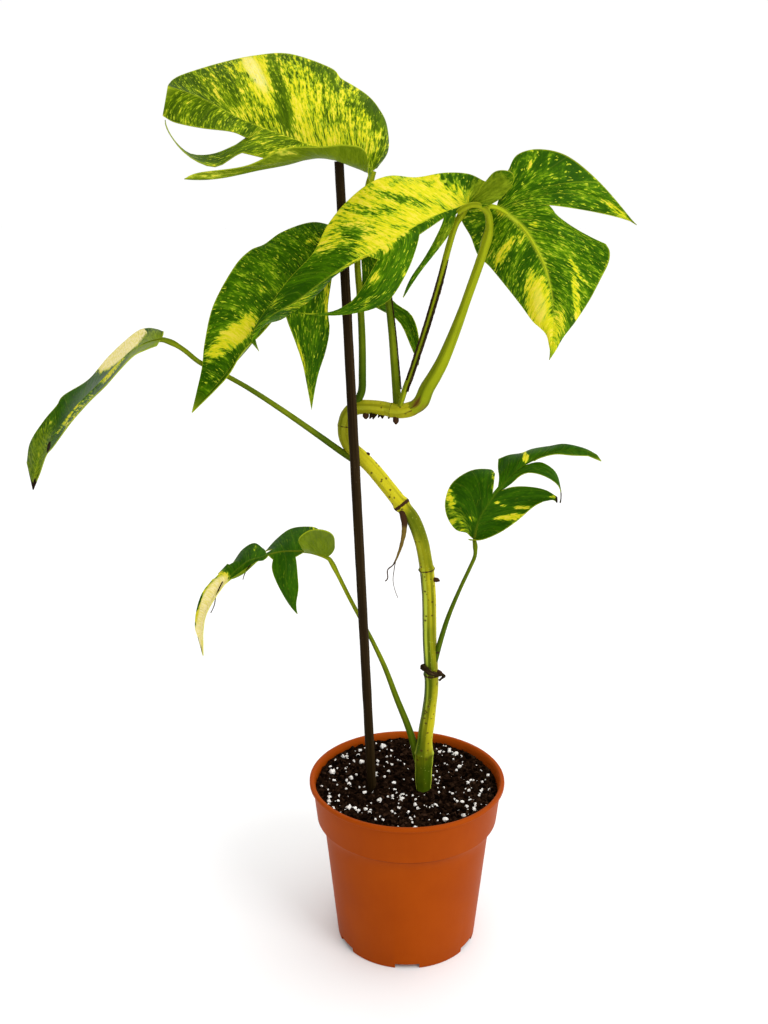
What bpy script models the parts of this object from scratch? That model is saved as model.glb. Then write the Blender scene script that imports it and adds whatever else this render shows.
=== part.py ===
"""A climbing pothos in a plastic nursery pot, tied to no support but leaning along a thin stake.

Units are metres, +Z is up, and the origin is the middle of the pot's base, on the ground.
The plant is drawn in millimetres from a point on the pot's axis at the height of the soil, so it
moves up and down with the soil. -Y is the plant's front.
"""
import math
import random

import bmesh
import bpy
from mathutils import Matrix, Vector

MM = 0.001

# ---- Driving sizes ------------------------------------------------------------------------------
POT_HEIGHT = 0.116
LIP_RADIUS = 0.065          # outside of the rolled lip
BASE_RADIUS = 0.047         # outside of the foot
POT_WALL = 0.0016
LIP_HEIGHT = 0.0026
LIP_OVERHANG = 0.0022       # how far the lip stands out from the band under it
LIP_ROUND_INSIDE = 0.0015   # how far in the lip's rounded inner edge reaches from its inner face
LIP_ROUND_OUTSIDE = 0.0007
LIP_ROUND_DROP = 0.0004
LIP_WIDEST_DROP = 0.0012    # from the top of the lip to where it is widest
LIP_UNDERCUT = 0.0005
BAND_HEIGHT = 0.0275        # from the top of the lip to the lower edge of the rim band
BAND_DRAFT = 0.0027         # how much narrower the band is at its lower edge
SHOULDER_DROP = 0.0095
SHOULDER_STEP = 0.0051      # how much narrower the body is under the shoulder
FOOT_HEIGHT = 0.004
FOOT_ROUND = 0.0009
FLOOR_THICKNESS = 0.002
PAD_RADIUS = 0.010          # the middle pad that stands on the ground
NOTCH_WIDTH = 0.016
NOTCH_COUNT = 6
NOTCH_REACH = 0.007         # how long the notch's cutter is, across the foot's wall
NOTCH_ROOF = 0.0005         # foot height left over a notch
DRAIN_RADIUS = 0.004
DRAIN_CIRCLE = 0.027
DRAIN_TURN = 29.0           # degrees from a notch to the next drain hole
POT_STEPS = 40

SOIL_BELOW_LIP = 0.008
SOIL_HEAP = 0.002           # how much higher the soil is in the middle than at the wall
SOIL_HEAP_SUNK = 0.0005     # how far the soil's edge is under its nominal level
CLEARANCE = 0.0003          # between two pieces that touch
LOOSE_CLEARANCE = 0.0004    # round a strand or a granule

STAKE_RADIUS = 0.00315
STAKE_FOOT = (-23.5, 2)     # where it enters the soil, in millimetres
STAKE_TOP = (-41, 0, 402.5)
STAKE_OVER_FLOOR = 0.012    # from the pot's floor to the stake's buried end

STEM_RADIUS = 0.0047
STEM_BURIED = 0.030
STEM_BURIED_TAPER = 0.6     # the buried end's radius, as a share of the stem's
PETIOLE_FLARE = 0.6         # share of a petiole's length in which its radius settles
NUB_DROOP = 0.12            # how far a nub's tip drops, as a share of its length
ROOT_RADII = (0.0021, 0.0004)
ROOT_TAPER = 0.74           # share of the aerial root's length that tapers
HAIR_RADIUS = 0.00035
LEAF_THICKNESS = 0.0009
ACROSS = 6                  # faces from the midrib to the margin
GRANULE_SINK = 0.45         # how much of a granule's height is in the soil
GRANULE_FLATNESS = 0.85

SOIL_LEVEL = POT_HEIGHT - SOIL_BELOW_LIP

# ---- The plant's guide lines, in millimetres ------------------------------------------------------
# A leaf has a midrib, from the petiole to the tip, and two sides. A side is a list of lobes, from the
# base to the tip. A lobe is (how far out the blade stays joined to the next lobe, its ribs), and a rib
# is (how far along the midrib it starts, then the points that it passes, out to the margin or the tip).
TOP_LEAF = {
    "midrib": [
        (-21.5, 6, 397.5), (-37.5, 3, 407), (-56, -1, 411), (-72.5, -3, 416.5), (-96.5, -2, 425.5),
        (-116.5, 0, 428), (-140, 5, 428.5)
    ],
    "sides": [
        [
            (1, [
                (0, (-21, 8, 398), (-19.5, 10, 398.5)),
                (0, (-16.5, 9, 404), (-13, 14, 408.5)),
                (0, (-16, 9, 411.5), (-14, 19, 423)),
                (0.03, (-23, 9, 419.5), (-19, 24, 432.5)),
                (0.07, (-29, 9, 424), (-25, 27, 439)),
                (0.11, (-35.5, 9, 427.5), (-33.5, 29, 444.5)),
                (0.15, (-40.5, 9, 429.5), (-40.5, 30, 448.5)),
                (0.19, (-45.5, 9, 432), (-47, 31, 454.5)),
                (0.3, (-63.5, 8, 438), (-70.5, 32, 462)),
                (0.42, (-79.5, 8, 439.5), (-90.5, 31, 461)),
                (0.58, (-98.5, 8, 441.5), (-109.5, 28, 457)),
                (0.75, (-119.5, 8, 439.5), (-129, 22, 451)),
                (0.87, (-131, 8, 437.5), (-137.5, 17, 446)),
                (0.95, (-137, 7, 433), (-140, 12, 437)),
            ]),
        ],
        [
            (0.35, [
                (0, (-23, 2, 394.5), (-24, -3, 391.5)),
                (0.02, (-26.5, -8, 397.5), (-25.5, -26, 408)),
                (0.1, (-34.5, -12, 400.5), (-36, -32, 411.5)),
                (0.18, (-43.5, -14, 403.5), (-49, -34, 410.5)),
                (0.26, (-52, -15, 404.5), (-69, -33, 409.5)),
                (0.29, (-56.5, -14, 404.5), (-75.5, -26, 401.5), (-90.5, -36, 400.5)),
                (0.3, (-59, -13, 404), (-82.5, -26, 399), (-99.5, -33, 397), (-116.5, -37, 397)),
                (0.32, (-61.5, -13, 404), (-86, -26, 398), (-106.5, -34, 394), (-123.5, -38, 394)),
                (0.35, (-64, -10, 407.5), (-79, -16, 403.5), (-103, -28, 395.5), (-123, -38, 394.5)),
            ]),
            (0.25, [
                (0.37, (-71, -8, 413.5), (-85, -15, 410.5), (-96, -23, 406.5), (-108, -30, 400),
                 (-121.5, -28, 405), (-133, -16, 415.5), (-139, -1, 424.5)),
                (0.45, (-83, -9, 415.5), (-96.5, -18, 409.5), (-110, -25, 403), (-123, -24, 406),
                 (-133.5, -14, 415.5), (-139, -1, 424.5)),
                (0.53, (-87.5, -8, 417), (-98, -14, 411.5), (-111, -18, 406.5), (-123.5, -19, 407),
                 (-134.5, -12, 416.5), (-139, -1, 425)),
            ]),
            (1, [
                (0.55, (-88, -6, 418.5), (-91.5, -12, 415)),
                (0.64, (-97.5, -7, 420.5), (-100, -14, 418.5)),
                (0.76, (-113.5, -5, 424), (-116, -12, 420.5)),
                (0.88, (-127.5, -2, 425.5), (-129.5, -8, 423)),
                (0.96, (-136, 2, 427), (-137, -2, 425.5)),
            ]),
        ],
    ],
}
STREAKED_LEAF = {
    "midrib": [
        (33, -6, 379), (16.5, -12, 374), (4, -17, 369), (-18, -23, 356), (-37.5, -25, 346),
        (-51.5, -25, 336.5), (-65, -23, 326.5), (-80, -19, 317.5), (-90, -15, 309.5),
        (-92.5, -12, 301.5), (-89, -10, 295)
    ],
    "sides": [
        [
            (1, [
                (0, (38, -6, 385), (42.5, -5, 391.5)),
                (0, (31.5, -4, 387), (33, 1, 395.5)),
                (0, (23.5, -5, 387), (19, 2, 396)),
                (0.03, (14.5, -7, 386), (3, 1, 393.5)),
                (0.1, (1.5, -11, 386), (-12, -3, 394.5)),
                (0.16, (-7.5, -14, 381.5), (-24.5, -7, 390)),
                (0.23, (-18.5, -17, 374.5), (-37.5, -9, 379.5)),
                (0.31, (-27.5, -19, 366.5), (-47.5, -11, 367.5)),
                (0.42, (-38, -20, 355.5), (-56, -13, 352)),
                (0.55, (-53, -20, 342), (-70, -13, 337.5)),
                (0.68, (-66.5, -20, 330.5), (-82, -13, 322)),
                (0.8, (-81.5, -16, 318.5), (-89, -12, 312.5)),
                (0.88, (-90, -13, 310.5), (-92.5, -11, 305.5)),
                (0.95, (-93, -12, 301.5), (-93, -11, 300.5)),
            ]),
        ],
        [
            (0.08, [
                (0, (36.5, -9, 383.5), (41, -13, 390.5)),
                (0, (41, -13, 388), (47, -19, 397.5)),
                (0, (44.5, -16, 389), (55.5, -23, 397)),
                (0, (44.5, -16, 384), (56.5, -22, 391)),
                (0, (39, -13, 379.5), (48.5, -17, 381.5)),
                (0.02, (33.5, -11, 376), (37.5, -13, 376.5)),
            ]),
            (0.07, [
                (0.05, (25, -13, 371), (21.5, -17, 363), (15.5, -19, 355), (6, -19, 343),
                 (-4, -17, 327.5)),
                (0.08, (22, -16, 371.5), (17, -20, 361), (9.5, -21, 350), (1.5, -20, 339.5),
                 (-4, -17, 327.5)),
                (0.11, (18.5, -15, 371.5), (14, -18, 361), (7.5, -19, 349.5), (0, -19, 338.5),
                 (-4.5, -17, 327.5)),
            ]),
            (0.1, [
                (0.22, (5, -19, 365.5), (1, -22, 350), (-5, -24, 337.5), (-12, -26, 327.5),
                 (-18.5, -27, 323.5), (-28.5, -28, 320.5), (-46.5, -28, 318.5), (-64.5, -27, 320)),
                (0.3, (-6.5, -24, 356.5), (-12.5, -28, 342.5), (-21.5, -31, 330), (-34.5, -30, 322.5),
                 (-49, -28, 319.5), (-64.5, -27, 320)),
                (0.38, (-18, -23, 352), (-22, -25, 344), (-28.5, -27, 333), (-34.5, -28, 326),
                 (-46, -28, 320.5), (-64.5, -27, 320)),
            ]),
            (1, [
                (0.42, (-21, -22, 353), (-22.5, -21, 352.5)),
                (0.5, (-32.5, -23, 347.5), (-34, -20, 346.5)),
                (0.6, (-44.5, -22, 339.5), (-45, -18, 339.5)),
                (0.69, (-52, -20, 332), (-52, -15, 331)),
                (0.77, (-63, -18, 323), (-64.5, -13, 321)),
                (0.84, (-74.5, -15, 316.5), (-75.5, -11, 314)),
                (0.91, (-85, -14, 311.5), (-85, -12, 311)),
                (0.96, (-91, -12, 303), (-91, -12, 303)),
            ]),
        ],
    ],
}
RIGHT_LEAF = {
    "midrib": [
        (50, 2, 377), (55, -1, 374), (65.5, -5, 365), (73.5, -7, 353), (78.5, -8, 342.5),
        (83, -8, 326), (84.5, -6, 307.5), (83.5, -2, 288.5)
    ],
    "sides": [
        [
            (0.33, [
                (0, (52.5, 4, 385.5), (56.5, 7, 397.5)),
                (0, (57, 3, 389.5), (62, 10, 406)),
                (0, (62, 2, 392), (74.5, 10, 409)),
                (0.01, (70.5, 1, 392), (91, 8, 405)),
                (0.02, (79, 0, 388.5), (109.5, 4, 390.5)),
                (0.03, (81.5, -1, 384.5), (109.5, 0, 381), (128.5, -6, 369)),
                (0.05, (68.5, -3, 380), (87, -3, 379), (109, -4, 375), (128.5, -6, 369)),
                (0.07, (66.5, -4, 378), (79, -4, 378.5), (100.5, -4, 375.5), (119, -6, 372),
                 (128.5, -6, 369)),
            ]),
            (1, [
                (0.08, (67.5, -5, 377), (79, -5, 378.5), (84, -5, 373), (96, -5, 365),
                 (113.5, -3, 356.5)),
                (0.13, (76, -6, 369.5), (95, -5, 362.5), (116, -3, 352)),
                (0.2, (80.5, -7, 363), (97, -6, 356), (115.5, -3, 345.5)),
                (0.32, (87.5, -8, 349), (111.5, -3, 336.5)),
                (0.45, (91, -9, 336.5), (105.5, -4, 324.5)),
                (0.6, (91.5, -9, 321.5), (97.5, -4, 311.5)),
                (0.75, (88.5, -7, 309.5), (91, -4, 302.5)),
                (0.9, (85.5, -5, 298.5), (87, -3, 294.5)),
            ]),
        ],
        [
            (1, [
                (0, (46, 0, 379.5), (41, -2, 380.5)),
                (0, (40, -1, 378), (32, -2, 378.5)),
                (0, (40.5, 3, 373), (29.5, 6, 371)),
                (0.02, (43.5, 5, 366), (36, 10, 359.5)),
                (0.07, (46.5, 4, 359.5), (40.5, 10, 349)),
                (0.14, (52.5, 0, 354.5), (47.5, 7, 342.5)),
                (0.28, (61, -4, 345), (57, 3, 331.5)),
                (0.44, (71, -7, 333.5), (66, -1, 320.5)),
                (0.6, (76.5, -8, 321), (72.5, -4, 312)),
                (0.78, (81.5, -7, 309), (80.5, -5, 304.5)),
                (0.92, (84, -5, 297.5), (83.5, -4, 295)),
            ]),
        ],
    ],
}
DARK_LEAF = {
    "midrib": [
        (-20.5, 12, 359), (-35.5, 10, 355), (-53, 8, 345), (-68, 4, 329), (-83, 0, 313),
        (-97, -5, 296), (-111.5, -9, 279), (-130, -12, 258.5)
    ],
    "sides": [
        [
            (1, [
                (0, (-18.5, 15, 359.5), (-15.5, 17, 361.5)),
                (0, (-25, 15, 362), (-26, 20, 364.5)),
                (0.06, (-38.5, 15, 361), (-41.5, 22, 364)),
                (0.14, (-50.5, 15, 358.5), (-58, 25, 367)),
                (0.24, (-62.5, 14, 354), (-76, 25, 361.5)),
                (0.31, (-71, 13, 349), (-87.5, 24, 354)),
                (0.37, (-79, 12, 341.5), (-96, 22, 350.5)),
                (0.45, (-89.5, 10, 333), (-105.5, 19, 341)),
                (0.58, (-101.5, 6, 317), (-118, 12, 319)),
                (0.7, (-109, 1, 301), (-123, 5, 298)),
                (0.82, (-117.5, -5, 282), (-124.5, -1, 283.5)),
                (0.92, (-124, -9, 270), (-127.5, -7, 269.5)),
            ]),
        ],
        [
            (0.08, [
                (0, (-17.5, 15, 344.5), (-14.5, 17, 327.5), (-7.5, 19, 319), (1, 19, 313),
                 (5.5, 17, 301.5), (6, 15, 282)),
                (0.03, (-23, 13, 341), (-20.5, 17, 323), (-10.5, 19, 316), (-2, 21, 308),
                 (3.5, 19, 296), (6, 15, 282)),
                (0.06, (-28.5, 13, 340), (-27, 15, 322), (-16, 17, 315), (-6, 18, 308.5),
                 (1, 17, 294), (6, 15, 282)),
            ]),
            (0.1, [
                (0.15, (-44.5, 8, 345), (-47, 8, 331.5), (-49, 8, 317.5), (-48, 7, 305.5),
                 (-50.5, 6, 292.5), (-55.5, 5, 277.5), (-59.5, 4, 256.5)),
                (0.28, (-55, 6, 329), (-56.5, 4, 311.5), (-58, 3, 293.5), (-59, 3, 275.5),
                 (-59.5, 4, 256.5)),
                (0.42, (-75, 5, 319.5), (-73, 6, 310), (-69, 6, 299), (-64.5, 5, 285),
                 (-61.5, 4, 269), (-59.5, 4, 256.5)),
            ]),
            (1, [
                (0.46, (-73.5, 3, 321), (-74.5, 2, 319.5)),
                (0.6, (-87.5, -3, 306), (-87.5, -5, 305)),
                (0.7, (-96.5, -6, 295.5), (-95, -9, 298.5)),
                (0.78, (-103, -8, 288.5), (-100.5, -12, 292)),
                (0.86, (-111.5, -10, 278), (-107.5, -14, 281)),
                (0.93, (-120, -12, 268.5), (-117.5, -14, 270.5)),
            ]),
        ],
    ],
}
FAR_LEAF = {
    "midrib": [
        (-147, -8, 301.5), (-156, -10, 299.5), (-165, -12, 294.5), (-182.5, -16, 277.5),
        (-200, -18, 260.5), (-216, -18, 240), (-225, -16, 224), (-229, -12, 210.5)
    ],
    "sides": [
        [
            (1, [
                (0, (-146, -6, 304), (-146, -4, 306)),
                (0, (-149.5, 0, 304.5), (-152.5, 10, 305)),
                (0.03, (-155.5, 4, 302.5), (-159, 18, 304.5)),
                (0.08, (-162, 6, 298), (-166.5, 24, 302)),
                (0.18, (-172, 8, 291.5), (-176.5, 28, 294.5)),
                (0.3, (-183, 8, 281), (-188, 28, 284)),
                (0.45, (-197.5, 6, 267.5), (-200, 26, 271)),
                (0.55, (-208, 4, 258), (-215, 22, 262)),
                (0.65, (-214.5, -2, 248.5), (-218, 14, 257)),
                (0.75, (-221, -8, 242), (-224, 6, 249.5)),
                (0.85, (-226.5, -12, 232.5), (-231, -2, 238)),
                (0.93, (-229, -13, 222), (-232.5, -8, 226.5)),
            ]),
        ],
        [
            (1, [
                (0, (-147, -14, 301), (-147, -20, 300)),
                (0.02, (-150.5, -20, 300.5), (-151.5, -32, 299.5)),
                (0.08, (-156.5, -24, 298), (-157, -42, 297.5)),
                (0.2, (-166, -28, 290.5), (-164.5, -46, 290)),
                (0.32, (-176, -30, 279.5), (-172, -48, 282)),
                (0.45, (-186, -30, 270), (-182, -46, 273)),
                (0.58, (-197, -30, 258.5), (-194, -42, 260.5)),
                (0.7, (-207.5, -26, 246.5), (-208, -34, 243.5)),
                (0.82, (-216.5, -22, 236.5), (-214.5, -28, 236.5)),
                (0.92, (-224, -16, 221.5), (-221.5, -20, 223.5)),
            ]),
        ],
    ],
}
LOW_LEFT_LEAF = {
    "midrib": [
        (-51.5, 6, 161), (-61, 4, 164.5), (-70, 2, 166), (-79, 0, 166.5), (-85.5, -2, 166),
        (-92.5, -4, 164), (-100, -6, 162.5), (-107, -8, 157.5), (-117.5, -10, 148),
        (-123.5, -12, 138.5), (-129.5, -12, 126.5), (-132, -10, 113.5), (-131, -8, 99)
    ],
    "sides": [
        [
            (0.1, [
                (0, (-51.5, 10, 165), (-52.5, 16, 168.5)),
                (0.04, (-57.5, 12, 169.5), (-58, 22, 174.5)),
                (0.1, (-65, 12, 171), (-66.5, 25, 175)),
                (0.16, (-72.5, 10, 170.5), (-76, 23, 174)),
                (0.22, (-80.5, 6, 169), (-84, 17, 169.5)),
                (0.28, (-85.5, 2, 167), (-90.5, 7, 164.5)),
            ]),
            (0.2, [
                (0.33, (-89.5, 0, 165.5), (-91.5, 5, 166.5)),
                (0.37, (-96, 3, 166.5), (-98, 11, 168.5)),
                (0.42, (-102.5, 2, 164.5), (-105.5, 10, 164.5)),
                (0.47, (-106.5, -3, 161), (-111, 3, 158)),
            ]),
            (0.5, [
                (0.49, (-110.5, -5, 158), (-114, 0, 158.5)),
                (0.54, (-115, -6, 155), (-120, -2, 152.5)),
            ]),
            (1, [
                (0.57, (-118, -8, 151.5), (-123, -5, 150)),
                (0.65, (-126, -9, 143), (-130, -7, 141)),
                (0.74, (-131, -10, 132), (-134, -8, 129)),
                (0.83, (-134.5, -9, 120), (-135, -8, 117.5)),
                (0.89, (-133.5, -8.5, 111.5), (-132.5, -8, 110)),
            ]),
        ],
        [
            (0.1, [
                (0, (-48, 2, 165), (-46, -3, 170.5)),
                (0, (-49, -3, 172), (-46.5, -12, 181)),
                (0, (-54, -5, 174.5), (-52, -16, 186)),
                (0.03, (-59.5, -6, 174.5), (-60.5, -18, 186.5)),
                (0.07, (-64, -6, 171), (-67.5, -16, 180.5)),
                (0.12, (-65.5, -2, 167.5), (-66.5, -7, 171)),
            ]),
            (0.1, [
                (0.17, (-70.5, -3, 162), (-69.5, -7, 154), (-69, -9, 145), (-70.5, -9, 135.5),
                 (-70, -7, 127.5)),
                (0.22, (-76.5, -7, 161), (-76.5, -11, 150.5), (-74, -10, 138), (-70, -7, 127.5)),
                (0.27, (-85, -4, 162.5), (-85.5, -7, 158), (-83, -9, 150.5), (-76.5, -9, 137),
                 (-70.5, -7, 127.5)),
            ]),
            (0.15, [
                (0.3, (-89, -5, 164), (-91, -6, 163)),
                (0.34, (-94, -7, 163), (-96.5, -9, 162)),
                (0.37, (-99, -10, 160), (-102, -14, 157.5), (-109, -15, 154.5)),
                (0.43, (-103.5, -9, 157.5), (-106, -12, 155.5), (-109.5, -15, 154.5)),
            ]),
            (1, [
                (0.45, (-106.5, -9, 155.5), (-107.5, -11, 154.5)),
                (0.52, (-113, -11, 150.5), (-114, -13, 150.5)),
                (0.58, (-117.5, -13, 146), (-116.5, -16, 147.5)),
                (0.65, (-122.5, -15, 138.5), (-121.5, -18, 140.5)),
                (0.74, (-127, -14, 129.5), (-126.5, -18, 131)),
                (0.83, (-130.5, -12, 118.5), (-129, -15, 119.5)),
                (0.89, (-131, -10, 110.5), (-130, -12, 111)),
            ]),
        ],
    ],
}
LOW_RIGHT_LEAF = {
    "midrib": [
        (40.5, -6, 177), (43.5, -8, 190.5), (48, -9, 199.5), (55, -10, 210), (61.5, -10, 218),
        (70.5, -9, 226), (79, -8, 231), (94.5, -8, 234.5), (109.5, -9, 233.5), (116.5, -10, 228)
    ],
    "sides": [
        [
            (0.15, [
                (0, (38, -7, 179.5), (37, -7, 181.5)),
                (0, (35, -6, 184), (29.5, -4, 182.5)),
                (0, (33, -4, 190), (24, 0, 190)),
                (0.04, (34, -3, 198), (23, 3, 199.5)),
                (0.1, (38, -3, 206), (27.5, 6, 210)),
                (0.17, (43, -4, 211.5), (39, 7, 217.5)),
                (0.23, (48.5, -5, 213.5), (50.5, 6, 218.5)),
                (0.27, (52, -7, 213), (53.5, 3, 216.5)),
            ]),
            (1, [
                (0.31, (55, -8, 216.5), (55, 0, 221), (55.5, 5, 225.5)),
                (0.38, (60.5, -6, 223.5), (62, 5, 228)),
                (0.46, (67, -6, 228), (69.5, 4, 229.5)),
                (0.54, (73.5, -6, 231), (76.5, 3, 232.5)),
                (0.64, (83, -7, 233.5), (86.5, 0, 235)),
                (0.75, (94, -7, 236), (95, -3, 237)),
                (0.86, (105, -8, 235), (106.5, -6, 235)),
                (0.95, (112.5, -9, 232), (114, -8, 231.5)),
            ]),
        ],
        [
            (0.12, [
                (0, (39, -7, 176.5), (37, -8, 177.5)),
                (0, (43.5, -9, 178.5), (45, -12, 178.5)),
                (0.03, (49, -10, 184), (55.5, -16, 184.5)),
                (0.08, (55, -11, 191.5), (65.5, -18, 192.5)),
                (0.14, (62, -12, 197.5), (76.5, -18, 202.5)),
                (0.2, (68, -12, 202), (82.5, -17, 205.5), (86.5, -16, 205.5)),
                (0.23, (67.5, -12, 206), (82.5, -15, 207.5), (89.5, -15, 206), (90, -14, 203)),
                (0.26, (67.5, -11, 209.5), (81, -13, 210), (90, -15, 206.5)),
                (0.3, (60.5, -11, 211.5), (70.5, -11, 212.5), (82.5, -13, 211), (90, -15, 206.5)),
            ]),
            (0.15, [
                (0.32, (61.5, -11, 213.5), (67, -14, 220), (72.5, -16, 222.5), (82, -18, 220.5),
                 (90.5, -18, 214), (91.5, -16, 203.5)),
                (0.4, (67, -12, 222), (75.5, -14, 225), (84, -16, 223), (90.5, -17, 215.5),
                 (92, -16, 203.5)),
                (0.5, (74.5, -9, 226.5), (81, -10, 227), (88.5, -13, 222), (91.5, -15, 213),
                 (92, -16, 203.5)),
            ]),
            (1, [
                (0.52, (75, -9, 228), (75.5, -11, 228.5)),
                (0.58, (80, -10, 230.5), (80, -12, 231)),
                (0.68, (88, -10, 232.5), (88.5, -12, 233)),
                (0.79, (98.5, -11, 233), (98.5, -13, 232.5)),
                (0.9, (108, -11, 232), (108, -12, 232)),
            ]),
        ],
    ],
}
STEM_PATH = [
    (11, -4, 1.5), (11, -4, 18.5), (11.5, -4, 35.5), (14, -4, 57.5), (15.5, -3, 72.5),
    (15, -3, 90.5), (14, -2, 107.5), (13.5, -1, 131), (12.5, 0, 147.5), (11, 0, 159.5),
    (8, 1, 174), (3, 2, 187), (-4, 4, 196), (-13, 7, 207), (-21.5, 10, 217), (-29, 12, 224.5),
    (-35.5, 13, 230.5), (-39, 13, 237.5), (-39.5, 13, 244.5), (-37.5, 13, 251.5),
    (-32.5, 12.5, 256), (-25, 11, 257), (-16.5, 8, 257), (-8, 5, 256), (-0.5, 3, 257),
    (5.5, 1, 260.5), (9, 0, 265.5)
]
RIGHT_PETIOLE = [
    (7.5, 0.5, 263), (10.5, 0, 270.5), (15, -1, 278.5), (20, -2, 288.5), (28, -4, 309.5),
    (35, -6, 330.5), (41.5, -7, 350.5), (45, -6, 363.5), (47.5, -4, 372), (49.5, -0.5, 376)
]
TOP_PETIOLE = [
    (-35.5, 13, 254), (-32, 12, 260), (-29, 11, 267), (-28.5, 9, 277.5), (-28.5, 7, 299),
    (-29.5, 6, 323), (-31, 5, 346.5), (-29.5, 4.5, 369.5), (-25, 5, 385.5), (-23, 6, 392.5),
    (-21.5, 6.5, 397)
]
DARK_PETIOLE = [
    (-7.5, 6, 257), (-7.5, 8, 264), (-8, 7.5, 271.5), (-9, 7, 284), (-10.5, 6.5, 302),
    (-12.5, 7, 320), (-14.5, 8, 337.5), (-17.5, 10, 351), (-20, 12, 357.5)
]
STREAKED_PETIOLE = [
    (-6, 4, 257.5), (-4.5, 1, 263.5), (-2.5, 0.5, 270.5), (0.5, 0, 279), (4, -1, 290),
    (10, -2, 309.5), (17.5, -3, 336), (22.5, -4, 356), (26, -5, 367.5), (30, -5.5, 374.5),
    (32, -6, 378.5)
]
FAR_PETIOLE = [
    (-30.5, 13, 220), (-36.5, 12, 224.5), (-46, 10, 232), (-55, 9, 239), (-76, 8, 254.5),
    (-97, 7, 269), (-112, 6, 278), (-126.5, 4, 286), (-134.5, 1, 293.5), (-139.5, -3, 298),
    (-143.5, -6, 300.5), (-146.5, -8, 301.5)
]
LOW_LEFT_PETIOLE = [
    (9.5, -3, 12), (6.5, -2, 23.5), (4, -1, 34), (0, 1, 46), (-6.5, 4, 62), (-14.5, 8, 83),
    (-20, 10, 98), (-27, 11, 110), (-37.5, 11, 131), (-45, 9.5, 148), (-49, 8, 157),
    (-51, 6.5, 160)
]
LOW_RIGHT_PETIOLE = [
    (16.5, -3, 88), (19, -4, 100), (22.5, -4.5, 114), (26, -5, 126), (32.5, -5.5, 143.5),
    (38.5, -6, 158), (41.5, -6, 166), (41.5, -6, 173), (41, -6, 176.5)
]
AERIAL_ROOT = [
    (-4.5, 3, 194.5), (-3.5, 0, 191), (-2.5, -2, 185), (-3.5, -3, 176.5), (-6, -3, 167),
    (-9.5, -3, 159), (-13, -3, 155.5), (-13, -3, 150), (-14.5, -3, 148)
]
HAIR_ROOT = [
    (-8, -4.5, 161.5), (-9, -5, 156), (-9.5, -5, 148), (-6.5, -5, 137.5)
]

LEAVES = {
    "leaf_top": (TOP_LEAF, "petiole_top"),
    "leaf_streaked": (STREAKED_LEAF, "petiole_streaked"),
    "leaf_right": (RIGHT_LEAF, "petiole_right"),
    "leaf_dark": (DARK_LEAF, "petiole_dark"),
    "leaf_far": (FAR_LEAF, "petiole_far"),
    "leaf_low_left": (LOW_LEFT_LEAF, "petiole_low_left"),
    "leaf_low_right": (LOW_RIGHT_LEAF, "petiole_low_right"),
}
# name: (route, radius at the stem, radius at the leaf)
PETIOLES = {
    "petiole_top": (TOP_PETIOLE, 0.0025, 0.0019),
    "petiole_dark": (DARK_PETIOLE, 0.0027, 0.0019),
    "petiole_streaked": (STREAKED_PETIOLE, 0.0018, 0.0019),
    "petiole_right": (RIGHT_PETIOLE, 0.0044, 0.0027),
    "petiole_far": (FAR_PETIOLE, 0.0022, 0.0019),
    "petiole_low_left": (LOW_LEFT_PETIOLE, 0.0027, 0.0017),
    "petiole_low_right": (LOW_RIGHT_PETIOLE, 0.0020, 0.0018),
}
# name: (where on the stem's axis it starts, the way it points, length, radius), in millimetres
ROOT_NUBS = {
    "root_nub_elbow": ((-8, 5, 256), (0, -0.4, -1), 9.0, 1.6),
    "root_nub_bend": ((-26, 11, 257), (-0.1, -0.3, -1), 8.0, 1.7),
    "root_nub_crook": ((-29, 12, 224.5), (0.85, -0.2, 0.6), 7.5, 1.3),
    "root_nub_middle": ((12.5, 0, 148), (1, -0.3, 0.1), 9.5, 1.3),
    "root_nub_low": ((15, -3, 87), (1, -0.2, -0.3), 9.5, 1.6),
}
# name: (petiole it lies along, first and last share of its length, side, radius), side as a direction
SHEATH_STRANDS = {
    "sheath_strand_dark": ("petiole_dark", 0.12, 0.86, (1, -0.15, 0), 0.0004),
    "sheath_strand_left": ("petiole_streaked", 0.16, 0.74, (-0.75, -1, 0), 0.0006),
    "sheath_strand_right": ("petiole_streaked", 0.10, 0.74, (0.85, -1, 0), 0.0007),
}
# (share of the soil's radius, bearing in degrees, radius in millimetres)
GRANULES = [
    (0.86, 108, 2.2), (0.71, 136, 2.0), (0.88, 164, 2.2), (0.64, 168, 1.7), (0.18, 220, 1.4),
    (0.45, 228, 2.0), (0.49, 259, 1.4), (0.81, 218, 1.8), (0.56, 271, 1.3), (0.88, 48, 1.8),
    (0.73, 33, 1.7), (0.83, 352, 1.3),
]

COLOURS = {
    "terracotta plastic": ((0.434, 0.069, 0.008), 0.42),
    "potting soil": ((0.011, 0.006, 0.004), 0.95),
    "perlite": ((0.80, 0.77, 0.72), 0.85),
    "stake wood": ((0.033, 0.018, 0.011), 0.62),
    "stem": ((0.33, 0.38, 0.018), 0.45),
    "petiole": ((0.19, 0.30, 0.015), 0.42),
    "leaf": ((0.045, 0.18, 0.006), 0.35),
    "dry sheath": ((0.07, 0.035, 0.015), 0.85),
    "aerial root": ((0.10, 0.06, 0.03), 0.85),
}


# ---- Helpers --------------------------------------------------------------------------------------
def clear_scene():
    for old in list(bpy.data.objects):
        bpy.data.objects.remove(old, do_unlink=True)


def new_collection(name):
    collection = bpy.data.collections.new(name)
    bpy.context.scene.collection.children.link(collection)
    return collection


def material(name):
    made = bpy.data.materials.get(name)
    if made:
        return made
    colour, roughness = COLOURS[name]
    made = bpy.data.materials.new(name)
    made.use_nodes = True
    shader = made.node_tree.nodes["Principled BSDF"]
    shader.inputs["Base Color"].default_value = (*colour, 1.0)
    shader.inputs["Roughness"].default_value = roughness
    shader.inputs["Metallic"].default_value = 0.0
    return made


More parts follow.
